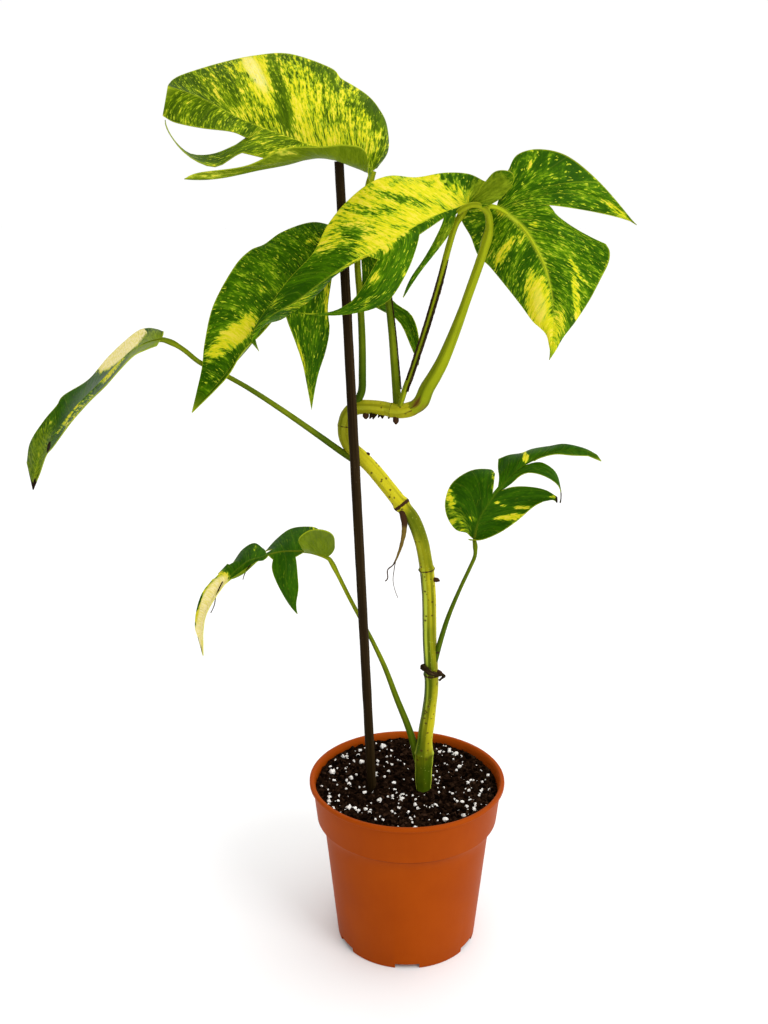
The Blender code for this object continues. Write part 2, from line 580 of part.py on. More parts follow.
def add_object(name, data, collection, finish=None):
    made = bpy.data.objects.new(name, data)
    collection.objects.link(made)
    if finish:
        data.materials.append(material(finish))
    return made


def mesh_object(name, bm, collection, finish=None):
    mesh = bpy.data.meshes.new(name)
    bm.to_mesh(mesh)
    bm.free()
    made = add_object(name, mesh, collection, finish)
    if finish:
        mesh.shade_smooth()
        mesh.set_sharp_from_angle(angle=math.radians(50))
    return made


def plant_point(point):
    """A point of the plant, from millimetres over the soil to metres over the ground."""
    x, y, height = point
    return Vector((x * MM, y * MM, SOIL_LEVEL + height * MM))


def curve_points(points, shares):
    """Points at the given shares of a smooth curve through points."""
    if len(points) == 2:
        return [points[0].lerp(points[1], share) for share in shares]
    steps = [0.0]
    for before, after in zip(points, points[1:]):
        steps.append(steps[-1] + max((after - before).length, 1e-7))
    places = [step / steps[-1] for step in steps]
    last = len(points) - 1
    slopes = [None] * len(points)
    for i in range(1, last):
        slopes[i] = (points[i + 1] - points[i - 1]) / (places[i + 1] - places[i - 1])
    slopes[0] = 2 * (points[1] - points[0]) / places[1] - slopes[1]
    slopes[last] = 2 * (points[last] - points[last - 1]) / (1 - places[last - 1]) - slopes[last - 1]
    found = []
    for share in shares:
        i = max(k for k in range(last) if places[k] <= share or k == 0)
        gap = places[i + 1] - places[i]
        s = (share - places[i]) / gap
        found.append(
            (1 + 2 * s) * (1 - s) ** 2 * points[i]
            + s * (1 - s) ** 2 * gap * slopes[i]
            + s * s * (3 - 2 * s) * points[i + 1]
            + s * s * (s - 1) * gap * slopes[i + 1]
        )
    return found


def even_shares(count):
    return [i / count for i in range(count + 1)]


def tube(name, points, radii, collection, finish=None, sides=8):
    """A round tube through points as a mesh, made from a bevelled curve with its caps welded on."""
    curve = bpy.data.curves.new(name + "_curve", "CURVE")
    curve.dimensions = "3D"
    curve.bevel_depth = 1.0
    curve.bevel_resolution = sides // 2 - 2
    curve.use_fill_caps = True
    curve.resolution_u = 1
    curve.render_resolution_u = 0
    spline = curve.splines.new("POLY")
    spline.points.add(len(points) - 1)
    for knot, point, radius in zip(spline.points, points, radii):
        knot.co = (*point, 1.0)
        knot.radius = radius
    route = bpy.data.objects.new(name + "_route", curve)
    collection.objects.link(route)
    bpy.context.view_layer.update()
    mesh = bpy.data.meshes.new_from_object(route.evaluated_get(bpy.context.evaluated_depsgraph_get()))
    place = route.matrix_world.copy()
    bpy.data.objects.remove(route, do_unlink=True)
    bm = bmesh.new()
    bm.from_mesh(mesh)
    bpy.data.meshes.remove(mesh)
    bmesh.ops.remove_doubles(bm, verts=bm.verts, dist=1e-6)
    made = mesh_object(name, bm, collection, finish)
    made.matrix_world = place
    return made


def hide_cutter(cutter):
    cutter.hide_render = True
    cutter.display_type = "WIRE"
    return cutter


def cut(target, cutter):
    boolean = target.modifiers.new("cut_" + cutter.name, "BOOLEAN")
    boolean.operation = "DIFFERENCE"
    boolean.solver = "EXACT"
    boolean.object = cutter


def turned(name, profile, collection, finish, steps=POT_STEPS):
    """A profile of (radius, height) points, top to bottom on its outer side, turned round Z."""
    mesh = bpy.data.meshes.new(name)
    edges = [(i, i + 1) for i in range(len(profile) - 1)]
    mesh.from_pydata([(radius, 0.0, height) for radius, height in profile], edges, [])
    made = add_object(name, mesh, collection, finish)
    screw = made.modifiers.new("turn", "SCREW")
    screw.steps = steps
    screw.render_steps = steps
    screw.use_merge_vertices = True
    screw.merge_threshold = 0.0001
    return made


# ---- The pot and what stands in it ------------------------------------------------------------------
def pot_outer_radius(height):
    """The pot's outside radius at a height, without the lip and the foot's rounded edge."""
    band_bottom = POT_HEIGHT - BAND_HEIGHT
    shoulder_bottom = band_bottom - SHOULDER_DROP
    band_top_radius = LIP_RADIUS - LIP_OVERHANG
    band_bottom_radius = band_top_radius - BAND_DRAFT
    body_top_radius = band_bottom_radius - SHOULDER_STEP
    if height >= band_bottom:
        share = (height - band_bottom) / BAND_HEIGHT
        return band_bottom_radius + share * BAND_DRAFT
    if height >= shoulder_bottom:
        share = (height - shoulder_bottom) / SHOULDER_DROP
        return body_top_radius + share * SHOULDER_STEP
    return BASE_RADIUS + (body_top_radius - BASE_RADIUS) * height / shoulder_bottom


def pot_levels():
    """Heights where the wall's slope changes, top to bottom."""
    band_bottom = POT_HEIGHT - BAND_HEIGHT
    return [band_bottom, band_bottom - SHOULDER_DROP]


def make_pot(parts, cutters):
    floor_top = FOOT_HEIGHT + FLOOR_THICKNESS
    lip_bottom = POT_HEIGHT - LIP_HEIGHT
    lip_inner = LIP_RADIUS - LIP_OVERHANG - POT_WALL
    profile = [(0.0, floor_top), (pot_outer_radius(floor_top) - POT_WALL, floor_top)]
    for level in reversed(pot_levels()):
        profile.append((pot_outer_radius(level) - POT_WALL, level))
    profile.append((lip_inner, lip_bottom))
    under_lip = lip_bottom - LIP_UNDERCUT
    profile.append((lip_inner + LIP_ROUND_INSIDE / 2, POT_HEIGHT - LIP_ROUND_DROP))
    profile.append((lip_inner + LIP_ROUND_INSIDE, POT_HEIGHT))
    profile.append((LIP_RADIUS - LIP_ROUND_OUTSIDE, POT_HEIGHT - LIP_ROUND_DROP))
    profile.append((LIP_RADIUS, POT_HEIGHT - LIP_WIDEST_DROP))
    profile.append((LIP_RADIUS - LIP_ROUND_DROP, lip_bottom))
    profile.append((pot_outer_radius(under_lip), under_lip))
    for level in pot_levels():
        profile.append((pot_outer_radius(level), level))
    profile.append((pot_outer_radius(FOOT_ROUND), FOOT_ROUND))
    profile.append((BASE_RADIUS - FOOT_ROUND, 0.0))
    profile.append((BASE_RADIUS - POT_WALL, 0.0))
    profile.append((BASE_RADIUS - POT_WALL, FOOT_HEIGHT))
    profile.append((PAD_RADIUS, FOOT_HEIGHT))
    profile.append((PAD_RADIUS, 0.0))
    profile.append((0.0, 0.0))
    pot = turned("pot", profile, parts, "terracotta plastic")
    bm = bmesh.new()
    for i in range(NOTCH_COUNT):
        bearing = math.radians(-90 + 360 * i / NOTCH_COUNT)
        middle = Vector((math.cos(bearing), math.sin(bearing), 0)) * (BASE_RADIUS - POT_WALL / 2)
        turn = Matrix.Rotation(bearing, 4, "Z")
        size = Matrix.Diagonal((NOTCH_REACH, NOTCH_WIDTH, 2 * (FOOT_HEIGHT - NOTCH_ROOF), 1))
        bmesh.ops.create_cube(bm, size=1.0, matrix=Matrix.Translation(middle) @ turn @ size)
        at_drain = bearing + math.radians(DRAIN_TURN)
        drain = Vector((math.cos(at_drain), math.sin(at_drain), 0)) * DRAIN_CIRCLE
        drain.z = FOOT_HEIGHT + FLOOR_THICKNESS / 2
        bmesh.ops.create_cone(
            bm, cap_ends=True, segments=12, radius1=DRAIN_RADIUS, radius2=DRAIN_RADIUS,
            depth=3 * FLOOR_THICKNESS, matrix=Matrix.Translation(drain),
        )
    cut(pot, hide_cutter(mesh_object("pot_openings", bm, cutters)))
    return pot


def soil_radius(height):
    return pot_outer_radius(height) - POT_WALL - CLEARANCE


def soil_top(radius):
    """The height of the soil's surface at a distance from the pot's axis."""
    share = radius / soil_radius(SOIL_LEVEL)
    return SOIL_LEVEL + SOIL_HEAP * (1 - share ** 2) - SOIL_HEAP_SUNK


def make_soil(parts):
    bottom = FOOT_HEIGHT + FLOOR_THICKNESS + CLEARANCE
    edge = soil_radius(SOIL_LEVEL)
    profile = [(edge * i / 4, soil_top(edge * i / 4)) for i in range(5)]
    for level in pot_levels():
        profile.append((soil_radius(level) - CLEARANCE, level))
    profile.append((soil_radius(bottom) - CLEARANCE, bottom))
    profile.append((0.0, bottom))
    return turned("soil", profile, parts, "potting soil")


def granule_mesh(radius, lift, seed):
    """A lumpy granule, the same for its node and, a clearance larger, for its socket."""
    lumps = random.Random(seed)
    bm = bmesh.new()
    bmesh.ops.create_icosphere(bm, subdivisions=1, radius=1.0)
    for vert in bm.verts:
        vert.co *= radius * lumps.uniform(0.8, 1.1) + lift
        vert.co.z *= GRANULE_FLATNESS
    return bm


def make_granules(parts, cutters, soil):
    edge = soil_radius(SOIL_LEVEL)
    for number, (share, bearing, size) in enumerate(GRANULES, start=1):
        radius = size * MM
        out = min(share * edge, edge - radius - 4 * CLEARANCE)
        angle = math.radians(bearing)
        height = soil_top(out) + radius * GRANULE_FLATNESS * (1 - 2 * GRANULE_SINK)
        place = Vector((out * math.cos(angle), out * math.sin(angle), height))
        granule = mesh_object(f"perlite_{number:02d}", granule_mesh(radius, 0.0, number), parts, "perlite")
        granule.location = place
        socket = mesh_object(
            f"perlite_socket_{number:02d}", granule_mesh(radius, LOOSE_CLEARANCE, number), cutters
        )
        socket.location = place
        cut(soil, hide_cutter(socket))


def make_stake(parts, cutters, soil):
    foot = Vector((STAKE_FOOT[0] * MM, STAKE_FOOT[1] * MM, SOIL_LEVEL))
    top = plant_point(STAKE_TOP)
    run = (top - foot).normalized()
    buried = (SOIL_LEVEL - FOOT_HEIGHT - FLOOR_THICKNESS - STAKE_OVER_FLOOR) / run.z
    bottom = foot - run * buried
    points = [bottom.lerp(top, share) for share in even_shares(8)]
    tube("stake", points, [STAKE_RADIUS] * len(points), parts, "stake wood", sides=12)
    wide = [bottom - run * CLEARANCE] + points[1:]
    cutter = tube("stake_hole", wide, [STAKE_RADIUS + CLEARANCE] * len(wide), cutters, sides=12)
    cut(soil, hide_cutter(cutter))


# ---- The shoot --------------------------------------------------------------------------------------
def make_stem(parts, cutters, soil):
    route = [plant_point(point) for point in STEM_PATH]
    root = route[0] - Vector((0, 0, STEM_BURIED))
    points = curve_points([root] + route, even_shares(46))
    radii = [STEM_RADIUS] * len(points)
    radii[0] = STEM_BURIED_TAPER * STEM_RADIUS
    tube("stem", points, radii, parts, "stem", sides=10)
    fat_radii = [radius + CLEARANCE for radius in radii]
    onward = (points[-1] - points[-2]).normalized()
    points = [points[0] - Vector((0, 0, CLEARANCE))] + points[1:-1] + [points[-1] + onward * CLEARANCE]
    fat = hide_cutter(tube("stem_cutter", points, fat_radii, cutters, sides=10))
    cut(soil, fat)
    return fat


def petiole_radius(name, share):
    _, at_stem, at_leaf = PETIOLES[name]
    return at_stem + (at_leaf - at_stem) * min(1.0, share / PETIOLE_FLARE)


def make_petioles(parts, cutters, fat_stem, soil):
    """Each petiole, cut where it leaves the stem. Returns the wider copies that cut the leaves."""
    fat_petioles = {}
    shares = even_shares(16)
    for name, (route, _, _) in PETIOLES.items():
        points = curve_points([plant_point(point) for point in route], shares)
        radii = [petiole_radius(name, share) for share in shares]
        petiole = tube(name, points, radii, parts, "petiole")
        onward = (points[-1] - points[-2]).normalized()
        reach = points[:-1] + [points[-1] + onward * CLEARANCE]
        fat = tube(name + "_cutter", reach, [radius + CLEARANCE for radius in radii], cutters)
        fat_petioles[name] = hide_cutter(fat)
        cut(petiole, fat_stem)
        if name == "petiole_low_left":
            cut(soil, fat_petioles[name])
    return fat_petioles


def make_nubs(parts, fat_stem):
    for name, (start, way, length, radius) in ROOT_NUBS.items():
        base = plant_point(start)
        run = Vector(way).normalized() * length * MM
        droop = Vector((0, 0, -NUB_DROOP * length * MM))
        points = [base, base + 0.5 * run, base + 0.8 * run + 0.3 * droop, base + run + droop]
        radii = [radius * MM, radius * MM, 0.85 * radius * MM, 0.35 * radius * MM]
        cut(tube(name, points, radii, parts, "aerial root"), fat_stem)


def make_aerial_roots(parts, fat_stem):
    thick, thin = ROOT_RADII
    shares = even_shares(14)
    points = curve_points([plant_point(point) for point in AERIAL_ROOT], shares)
    radii = [thick + (thin - thick) * min(1.0, share / ROOT_TAPER) for share in shares]
    cut(tube("aerial_root_long", points, radii, parts, "aerial root"), fat_stem)
    points = curve_points([plant_point(point) for point in HAIR_ROOT], even_shares(8))
    tube("aerial_root_hair", points, [HAIR_RADIUS] * len(points), parts, "aerial root", sides=6)


def make_sheath_strands(parts):
    """Thin dry strands, a clearance off the petiole that each lies along."""
    for name, (petiole, first, last, side, radius) in SHEATH_STRANDS.items():
        route = PETIOLES[petiole][0]
        shares = [first + (last - first) * share for share in even_shares(10)]
        points = curve_points([plant_point(point) for point in route], shares)
        moved = []
        for share, point in zip(shares, points):
            off = petiole_radius(petiole, share) + radius + LOOSE_CLEARANCE
            moved.append(point + Vector(side).normalized() * off)
        tube(name, moved, [radius] * len(moved), parts, "dry sheath", sides=6)


# ---- The leaves -------------------------------------------------------------------------------------
def leaf_rows(midrib, lobes):
    """The ribs of one side as rows of points, and how far each row is joined to the next one."""
    shares = even_shares(ACROSS)
    rows = []
    for joined, ribs in lobes:
        for along, *outward in ribs:
            start = curve_points(midrib, [along])[0]
            points = curve_points([start] + [plant_point(point) for point in outward], shares)
            rows.append([along, points, ACROSS])
        rows[-1][2] = round(joined * ACROSS)
    rows.append([1.0, [midrib[-1]] * (ACROSS + 1), ACROSS])
    return rows


def make_leaf(name, guides, parts, cutter):
    midrib = [plant_point(point) for point in guides["midrib"]]
    sides = [leaf_rows(midrib, lobes) for lobes in guides["sides"]]
    bm = bmesh.new()
    stops = sorted({along for rows in sides for along, _, _ in rows})
    spine = {along: bm.verts.new(curve_points(midrib, [along])[0]) for along in stops}
    for flip, rows in enumerate(sides):
        grid = [[spine[along]] + [bm.verts.new(p) for p in points[1:]] for along, points, _ in rows[:-1]]
        grid.append([spine[1.0]] * (ACROSS + 1))
        for k in range(len(rows) - 1):
            joined = rows[k][2]
            for j in range(joined):
                ring = [grid[k][j + 1], grid[k][j]]
                if j == 0:
                    between = [s for s in stops if rows[k][0] < s < rows[k + 1][0]]
                    ring += [spine[s] for s in between]
                ring += [grid[k + 1][j], grid[k + 1][j + 1]]
                ring = list(dict.fromkeys(ring))
                if flip:
                    ring.reverse()
                bm.faces.new(ring)
    loose = [vert for vert in bm.verts if not vert.link_faces]
    bmesh.ops.delete(bm, geom=loose, context="VERTS")
    bmesh.ops.remove_doubles(bm, verts=bm.verts, dist=0.00005)
    leaf = mesh_object(name, bm, parts, "leaf")
    shell = leaf.modifiers.new("blade", "SOLIDIFY")
    shell.thickness = LEAF_THICKNESS
    shell.offset = 0.0
    cut(leaf, cutter)


def build():
    clear_scene()
    parts = new_collection("potted_pothos")
    cutters = new_collection("cutters")
    make_pot(parts, cutters)
    soil = make_soil(parts)
    make_stake(parts, cutters, soil)
    fat_stem = make_stem(parts, cutters, soil)
    fat_petioles = make_petioles(parts, cutters, fat_stem, soil)
    make_nubs(parts, fat_stem)
    make_aerial_roots(parts, fat_stem)
    make_sheath_strands(parts)
    make_granules(parts, cutters, soil)
    for name, (guides, petiole) in LEAVES.items():
        make_leaf(name, guides, parts, fat_petioles[petiole])


build()
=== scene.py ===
"""A climbing pothos in an orange nursery pot, growing beside a thin leaning stake.

The looks of the part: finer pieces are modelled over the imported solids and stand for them. Units are
metres, +Z is up and -Y is the plant's front. The plant's guide lines are in millimetres, measured
from the pot's axis at the height of the soil.
"""
import math
import random

import bmesh
import bpy
from mathutils import Matrix, Vector, kdtree, noise


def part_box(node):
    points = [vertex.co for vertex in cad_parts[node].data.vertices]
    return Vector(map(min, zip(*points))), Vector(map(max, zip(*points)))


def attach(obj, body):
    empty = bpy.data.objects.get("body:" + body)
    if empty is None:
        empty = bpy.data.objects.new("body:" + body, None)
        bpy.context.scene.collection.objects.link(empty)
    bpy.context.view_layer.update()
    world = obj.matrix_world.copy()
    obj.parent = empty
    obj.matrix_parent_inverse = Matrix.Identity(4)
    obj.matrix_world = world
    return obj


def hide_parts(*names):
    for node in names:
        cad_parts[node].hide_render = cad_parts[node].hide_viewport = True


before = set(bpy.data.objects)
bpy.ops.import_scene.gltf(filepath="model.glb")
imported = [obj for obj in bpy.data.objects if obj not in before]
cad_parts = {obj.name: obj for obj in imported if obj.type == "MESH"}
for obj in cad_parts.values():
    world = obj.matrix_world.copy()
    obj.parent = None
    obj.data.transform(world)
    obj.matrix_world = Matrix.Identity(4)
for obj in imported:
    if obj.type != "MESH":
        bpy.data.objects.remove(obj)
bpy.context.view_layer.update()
POT_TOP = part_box("pot")[1]

MM = 0.001

# ---- Sizes ------------------------------------------------------------------------------------------
POT_HEIGHT = POT_TOP.z
LIP_RADIUS = POT_TOP.x
SOIL_LEVEL = POT_HEIGHT - 8.0 * MM
POT_WALL = 1.6 * MM
BAND_TOP_RADIUS = LIP_RADIUS - 2.2 * MM
BAND_BOTTOM = POT_HEIGHT - 27.5 * MM
BAND_BOTTOM_RADIUS = BAND_TOP_RADIUS - 2.7 * MM
SHOULDER_BOTTOM = BAND_BOTTOM - 9.5 * MM
BODY_TOP_RADIUS = BAND_BOTTOM_RADIUS - 5.1 * MM
BASE_RADIUS = 47.0 * MM
FOOT_HEIGHT = 4.0 * MM
FLOOR_TOP = 6.0 * MM
STAKE_RADIUS = 3.15 * MM
STEM_RADIUS = 4.7 * MM
STAKE_FOOT = (-23.5 * MM, 2 * MM)
STEM_FOOT = (11 * MM, -4 * MM)
SOIL_DIP = (-27 * MM, -2.5 * MM)  # the hollow beside the stake
BLADE = 0.55 * MM                 # a leaf's thickness between its veins
MIDRIB = 1.15 * MM                # and at its midrib, near the petiole
ACROSS = 26                       # faces from the midrib to the margin
SPREAD = 1.4                      # how much narrower they are near the midrib
ROWS_PER_RIB = 9                  # rows of faces from one rib to the next

CAMERA_PLACE = (-0.0153, -0.7145, 0.5211)
CAMERA_PITCH = 17.14              # degrees that it looks down
CAMERA_LENS = 42.1875
CAMERA_SENSOR = 36.0

# ---- The plant's guide lines, in millimetres --------------------------------------------------------
# A leaf has a midrib, from the petiole to the tip, and two sides. A side is a list of lobes, from the
# base to the tip. A lobe is (how far out the blade stays joined to the next lobe, its ribs), and a rib
# is (how far along the midrib it starts, then the points that it passes, out to the margin or the tip).
TOP_LEAF = {
    "midrib": [
        (-21.5, 6, 397.5), (-37.5, 3, 407), (-56, -1, 411), (-72.5, -3, 416.5), (-96.5, -2, 425.5),
        (-118, 0, 436.5), (-137.5, 4, 443)
    ],
    "sides": [
        [
            (1, [
                (0, (-21, 8, 398), (-19.5, 10, 398.5)),
                (0, (-16.5, 9, 404), (-13, 14, 408.5)),
                (0, (-16, 9, 411.5), (-14, 19, 423)),
                (0.03, (-23, 9, 419.5), (-19, 24, 432.5)),
                (0.07, (-29, 9, 424), (-25, 27, 439)),
                (0.11, (-35.5, 9, 427.5), (-33.5, 29, 444.5)),
                (0.15, (-40.5, 9, 429.5), (-40.5, 30, 448.5)),
                (0.19, (-45.5, 9, 432), (-47, 31, 454.5)),
                (0.3, (-63.5, 8, 438), (-70.5, 32, 462)),
                (0.42, (-79.5, 8, 439.5), (-90.5, 31, 461)),
                (0.58, (-98.5, 8, 441.5), (-109.5, 28, 457)),
                (0.75, (-119.5, 8, 439.5), (-129, 22, 451)),
                (0.87, (-131, 9, 442), (-136, 17, 447.5)),
                (0.95, (-136.5, 7, 443), (-138, 11, 444.3)),
            ]),
        ],
        [
            (0.35, [
                (0, (-23, 2, 394.5), (-24, -3, 391.5)),
                (0.02, (-26.5, -8, 397.5), (-25.5, -26, 408)),
                (0.1, (-34.5, -12, 400.5), (-36, -32, 411.5)),
                (0.18, (-43.5, -14, 403.5), (-49, -34, 410.5)),
                (0.26, (-52, -15, 404.5), (-69, -33, 409.5)),
                (0.29, (-56.5, -14, 404.5), (-75.5, -26, 401.5), (-90.5, -36, 400.5)),
                (0.3, (-59, -13, 404), (-82.5, -26, 399), (-99.5, -33, 397), (-116.5, -37, 397)),
                (0.32, (-61.5, -13, 404), (-86, -26, 398), (-106.5, -34, 394), (-123.5, -38, 394)),
                (0.35, (-64, -10, 407.5), (-79, -16, 403.5), (-103, -28, 395.5), (-123, -38, 394.5)),
            ]),
            (0.25, [
                (0.37, (-71, -8, 413.5), (-85, -15, 410.5), (-96, -23, 406.5), (-108, -30, 400),
                 (-121.5, -28, 405), (-133, -16, 415.5), (-139, -1, 424.5)),
                (0.45, (-83, -9, 415.5), (-96.5, -18, 409.5), (-110, -25, 403), (-123, -24, 406),
                 (-133.5, -14, 415.5), (-139, -1, 424.5)),
                (0.53, (-87.5, -8, 417), (-98, -14, 411.5), (-111, -18, 406.5), (-123.5, -19, 407),
                 (-134.5, -12, 416.5), (-139, -1, 425)),
            ]),
            (1, [
                (0.55, (-88, -6, 418.5), (-91.5, -12, 415)),
                (0.64, (-98.5, -7, 423), (-100, -14, 418.5)),
                (0.76, (-115, -5, 428), (-117, -12, 420.5)),
                (0.87, (-130, -2, 432), (-132.5, -7, 423.5)),
                (0.95, (-137.5, 1, 435), (-140, -2, 427)),
            ]),
        ],
    ],
}
STREAKED_LEAF = {
    "midrib": [
        (33, -6, 379), (16.5, -12, 374), (4, -17, 369), (-18, -23, 356), (-37.5, -25, 346),
        (-51.5, -25, 336.5), (-65, -23, 326.5), (-80, -19, 317.5), (-90, -15, 309.5),
        (-92.5, -12, 301.5), (-89, -10, 295)
    ],
    "sides": [
        [
            (1, [
                (0, (38, -6, 385), (42.5, -5, 391.5)),
                (0, (31.5, -4, 387), (33, 1, 395.5)),
                (0, (23.5, -5, 387), (19, 2, 396)),
                (0.03, (14.5, -7, 386), (3, 1, 393.5)),
                (0.1, (1.5, -11, 386), (-12, -3, 394.5)),
                (0.16, (-7.5, -14, 381.5), (-24.5, -7, 390)),
                (0.23, (-18.5, -17, 374.5), (-37.5, -9, 379.5)),
                (0.31, (-27.5, -19, 366.5), (-47.5, -11, 367.5)),
                (0.42, (-38, -20, 355.5), (-56, -13, 352)),
                (0.55, (-53, -20, 342), (-70, -13, 337.5)),
                (0.68, (-66.5, -20, 330.5), (-82, -13, 322)),
                (0.8, (-81.5, -16, 318.5), (-89, -12, 312.5)),
                (0.88, (-90, -13, 310.5), (-92.5, -11, 305.5)),
                (0.95, (-93, -12, 301.5), (-93, -11, 300.5)),
            ]),
        ],
        [
            (0.08, [
                (0, (36.5, -9, 383.5), (41, -13, 390.5)),
                (0, (41, -13, 388), (47, -19, 397.5)),
                (0, (44.5, -16, 389), (55.5, -23, 397)),
                (0, (44.5, -16, 384), (56.5, -22, 391)),
                (0, (39, -13, 379.5), (48.5, -17, 381.5)),
                (0.02, (33.5, -11, 376), (37.5, -13, 376.5)),
            ]),
            (0.07, [
                (0.05, (25, -13, 371), (21.5, -17, 363), (15.5, -19, 355), (6, -19, 343),
                 (-4, -17, 327.5)),
                (0.08, (22, -16, 371.5), (17, -20, 361), (9.5, -21, 350), (1.5, -20, 339.5),
                 (-4, -17, 327.5)),
                (0.11, (18.5, -15, 371.5), (14, -18, 361), (7.5, -19, 349.5), (0, -19, 338.5),
                 (-4.5, -17, 327.5)),
            ]),
            (0.1, [
                (0.22, (5, -19, 365.5), (1, -22, 350), (-5, -24, 337.5), (-12, -26, 327.5),
                 (-18.5, -27, 323.5), (-28.5, -28, 320.5), (-46.5, -28, 318.5), (-64.5, -27, 320)),
                (0.3, (-6.5, -24, 356.5), (-12.5, -28, 342.5), (-21.5, -31, 330), (-34.5, -30, 322.5),
                 (-49, -28, 319.5), (-64.5, -27, 320)),
                (0.38, (-18, -23, 352), (-22, -25, 344), (-28.5, -27, 333), (-34.5, -28, 326),
                 (-46, -28, 320.5), (-64.5, -27, 320)),
            ]),
            (1, [
                (0.42, (-21, -22, 353), (-22.5, -21, 352.5)),
                (0.5, (-32.5, -23, 347.5), (-34, -20, 346.5)),
                (0.6, (-44.5, -22, 339.5), (-45, -18, 339.5)),
                (0.69, (-52, -20, 332), (-52, -15, 331)),
                (0.77, (-63, -18, 323), (-64.5, -13, 321)),
                (0.84, (-74.5, -15, 316.5), (-75.5, -11, 314)),
                (0.91, (-85, -14, 311.5), (-85, -12, 311)),
                (0.96, (-91, -12, 303), (-91, -12, 303)),
            ]),
        ],
    ],
}
RIGHT_LEAF = {
    "midrib": [
        (50, 2, 377), (55, -1, 374), (65.5, -5, 365), (73.5, -7, 353), (78.5, -8, 342.5),
        (83, -8, 326), (84.5, -6, 307.5), (83.5, -2, 288.5)
    ],
    "sides": [
        [
            (0.33, [
                (0, (52.5, 4, 385.5), (56.5, 7, 397.5)),
                (0, (57, 3, 389.5), (62, 10, 406)),
                (0, (62, 2, 392), (74.5, 10, 409)),
                (0.01, (70.5, 1, 392), (91, 8, 405)),
                (0.02, (79, 0, 388.5), (109.5, 4, 390.5)),
                (0.03, (81.5, -1, 384.5), (109.5, 0, 381), (128.5, -6, 369)),
                (0.05, (68.5, -3, 380), (87, -3, 379), (109, -4, 375), (128.5, -6, 369)),
                (0.07, (66.5, -4, 378), (79, -4, 378.5), (100.5, -4, 375.5), (119, -6, 372),
                 (128.5, -6, 369)),
            ]),
            (1, [
                (0.08, (67.5, -5, 377), (79, -5, 378.5), (84, -5, 373), (96, -5, 365),
                 (113.5, -3, 356.5)),
                (0.13, (76, -6, 369.5), (95, -5, 362.5), (116, -3, 352)),
                (0.2, (80.5, -7, 363), (97, -6, 356), (115.5, -3, 345.5)),
                (0.32, (87.5, -8, 349), (111.5, -3, 336.5)),
                (0.45, (91, -9, 336.5), (105.5, -4, 324.5)),
                (0.6, (91.5, -9, 321.5), (97.5, -4, 311.5)),
                (0.75, (88.5, -7, 309.5), (91, -4, 302.5)),
                (0.9, (85.5, -5, 298.5), (87, -3, 294.5)),
            ]),
        ],
        [
            (1, [
                (0, (46, 0, 379.5), (41, -2, 380.5)),
                (0, (40, -1, 378), (32, -2, 378.5)),
                (0, (40.5, 3, 373), (29.5, 6, 371)),
                (0.02, (43.5, 5, 366), (36, 10, 359.5)),
                (0.07, (46.5, 4, 359.5), (40.5, 10, 349)),
                (0.14, (52.5, 0, 354.5), (47.5, 7, 342.5)),
                (0.28, (61, -4, 345), (57, 3, 331.5)),
                (0.44, (71, -7, 333.5), (66, -1, 320.5)),
                (0.6, (76.5, -8, 321), (72.5, -4, 312)),
                (0.78, (81.5, -7, 309), (80.5, -5, 304.5)),
                (0.92, (84, -5, 297.5), (83.5, -4, 295)),
            ]),
        ],
    ],
}
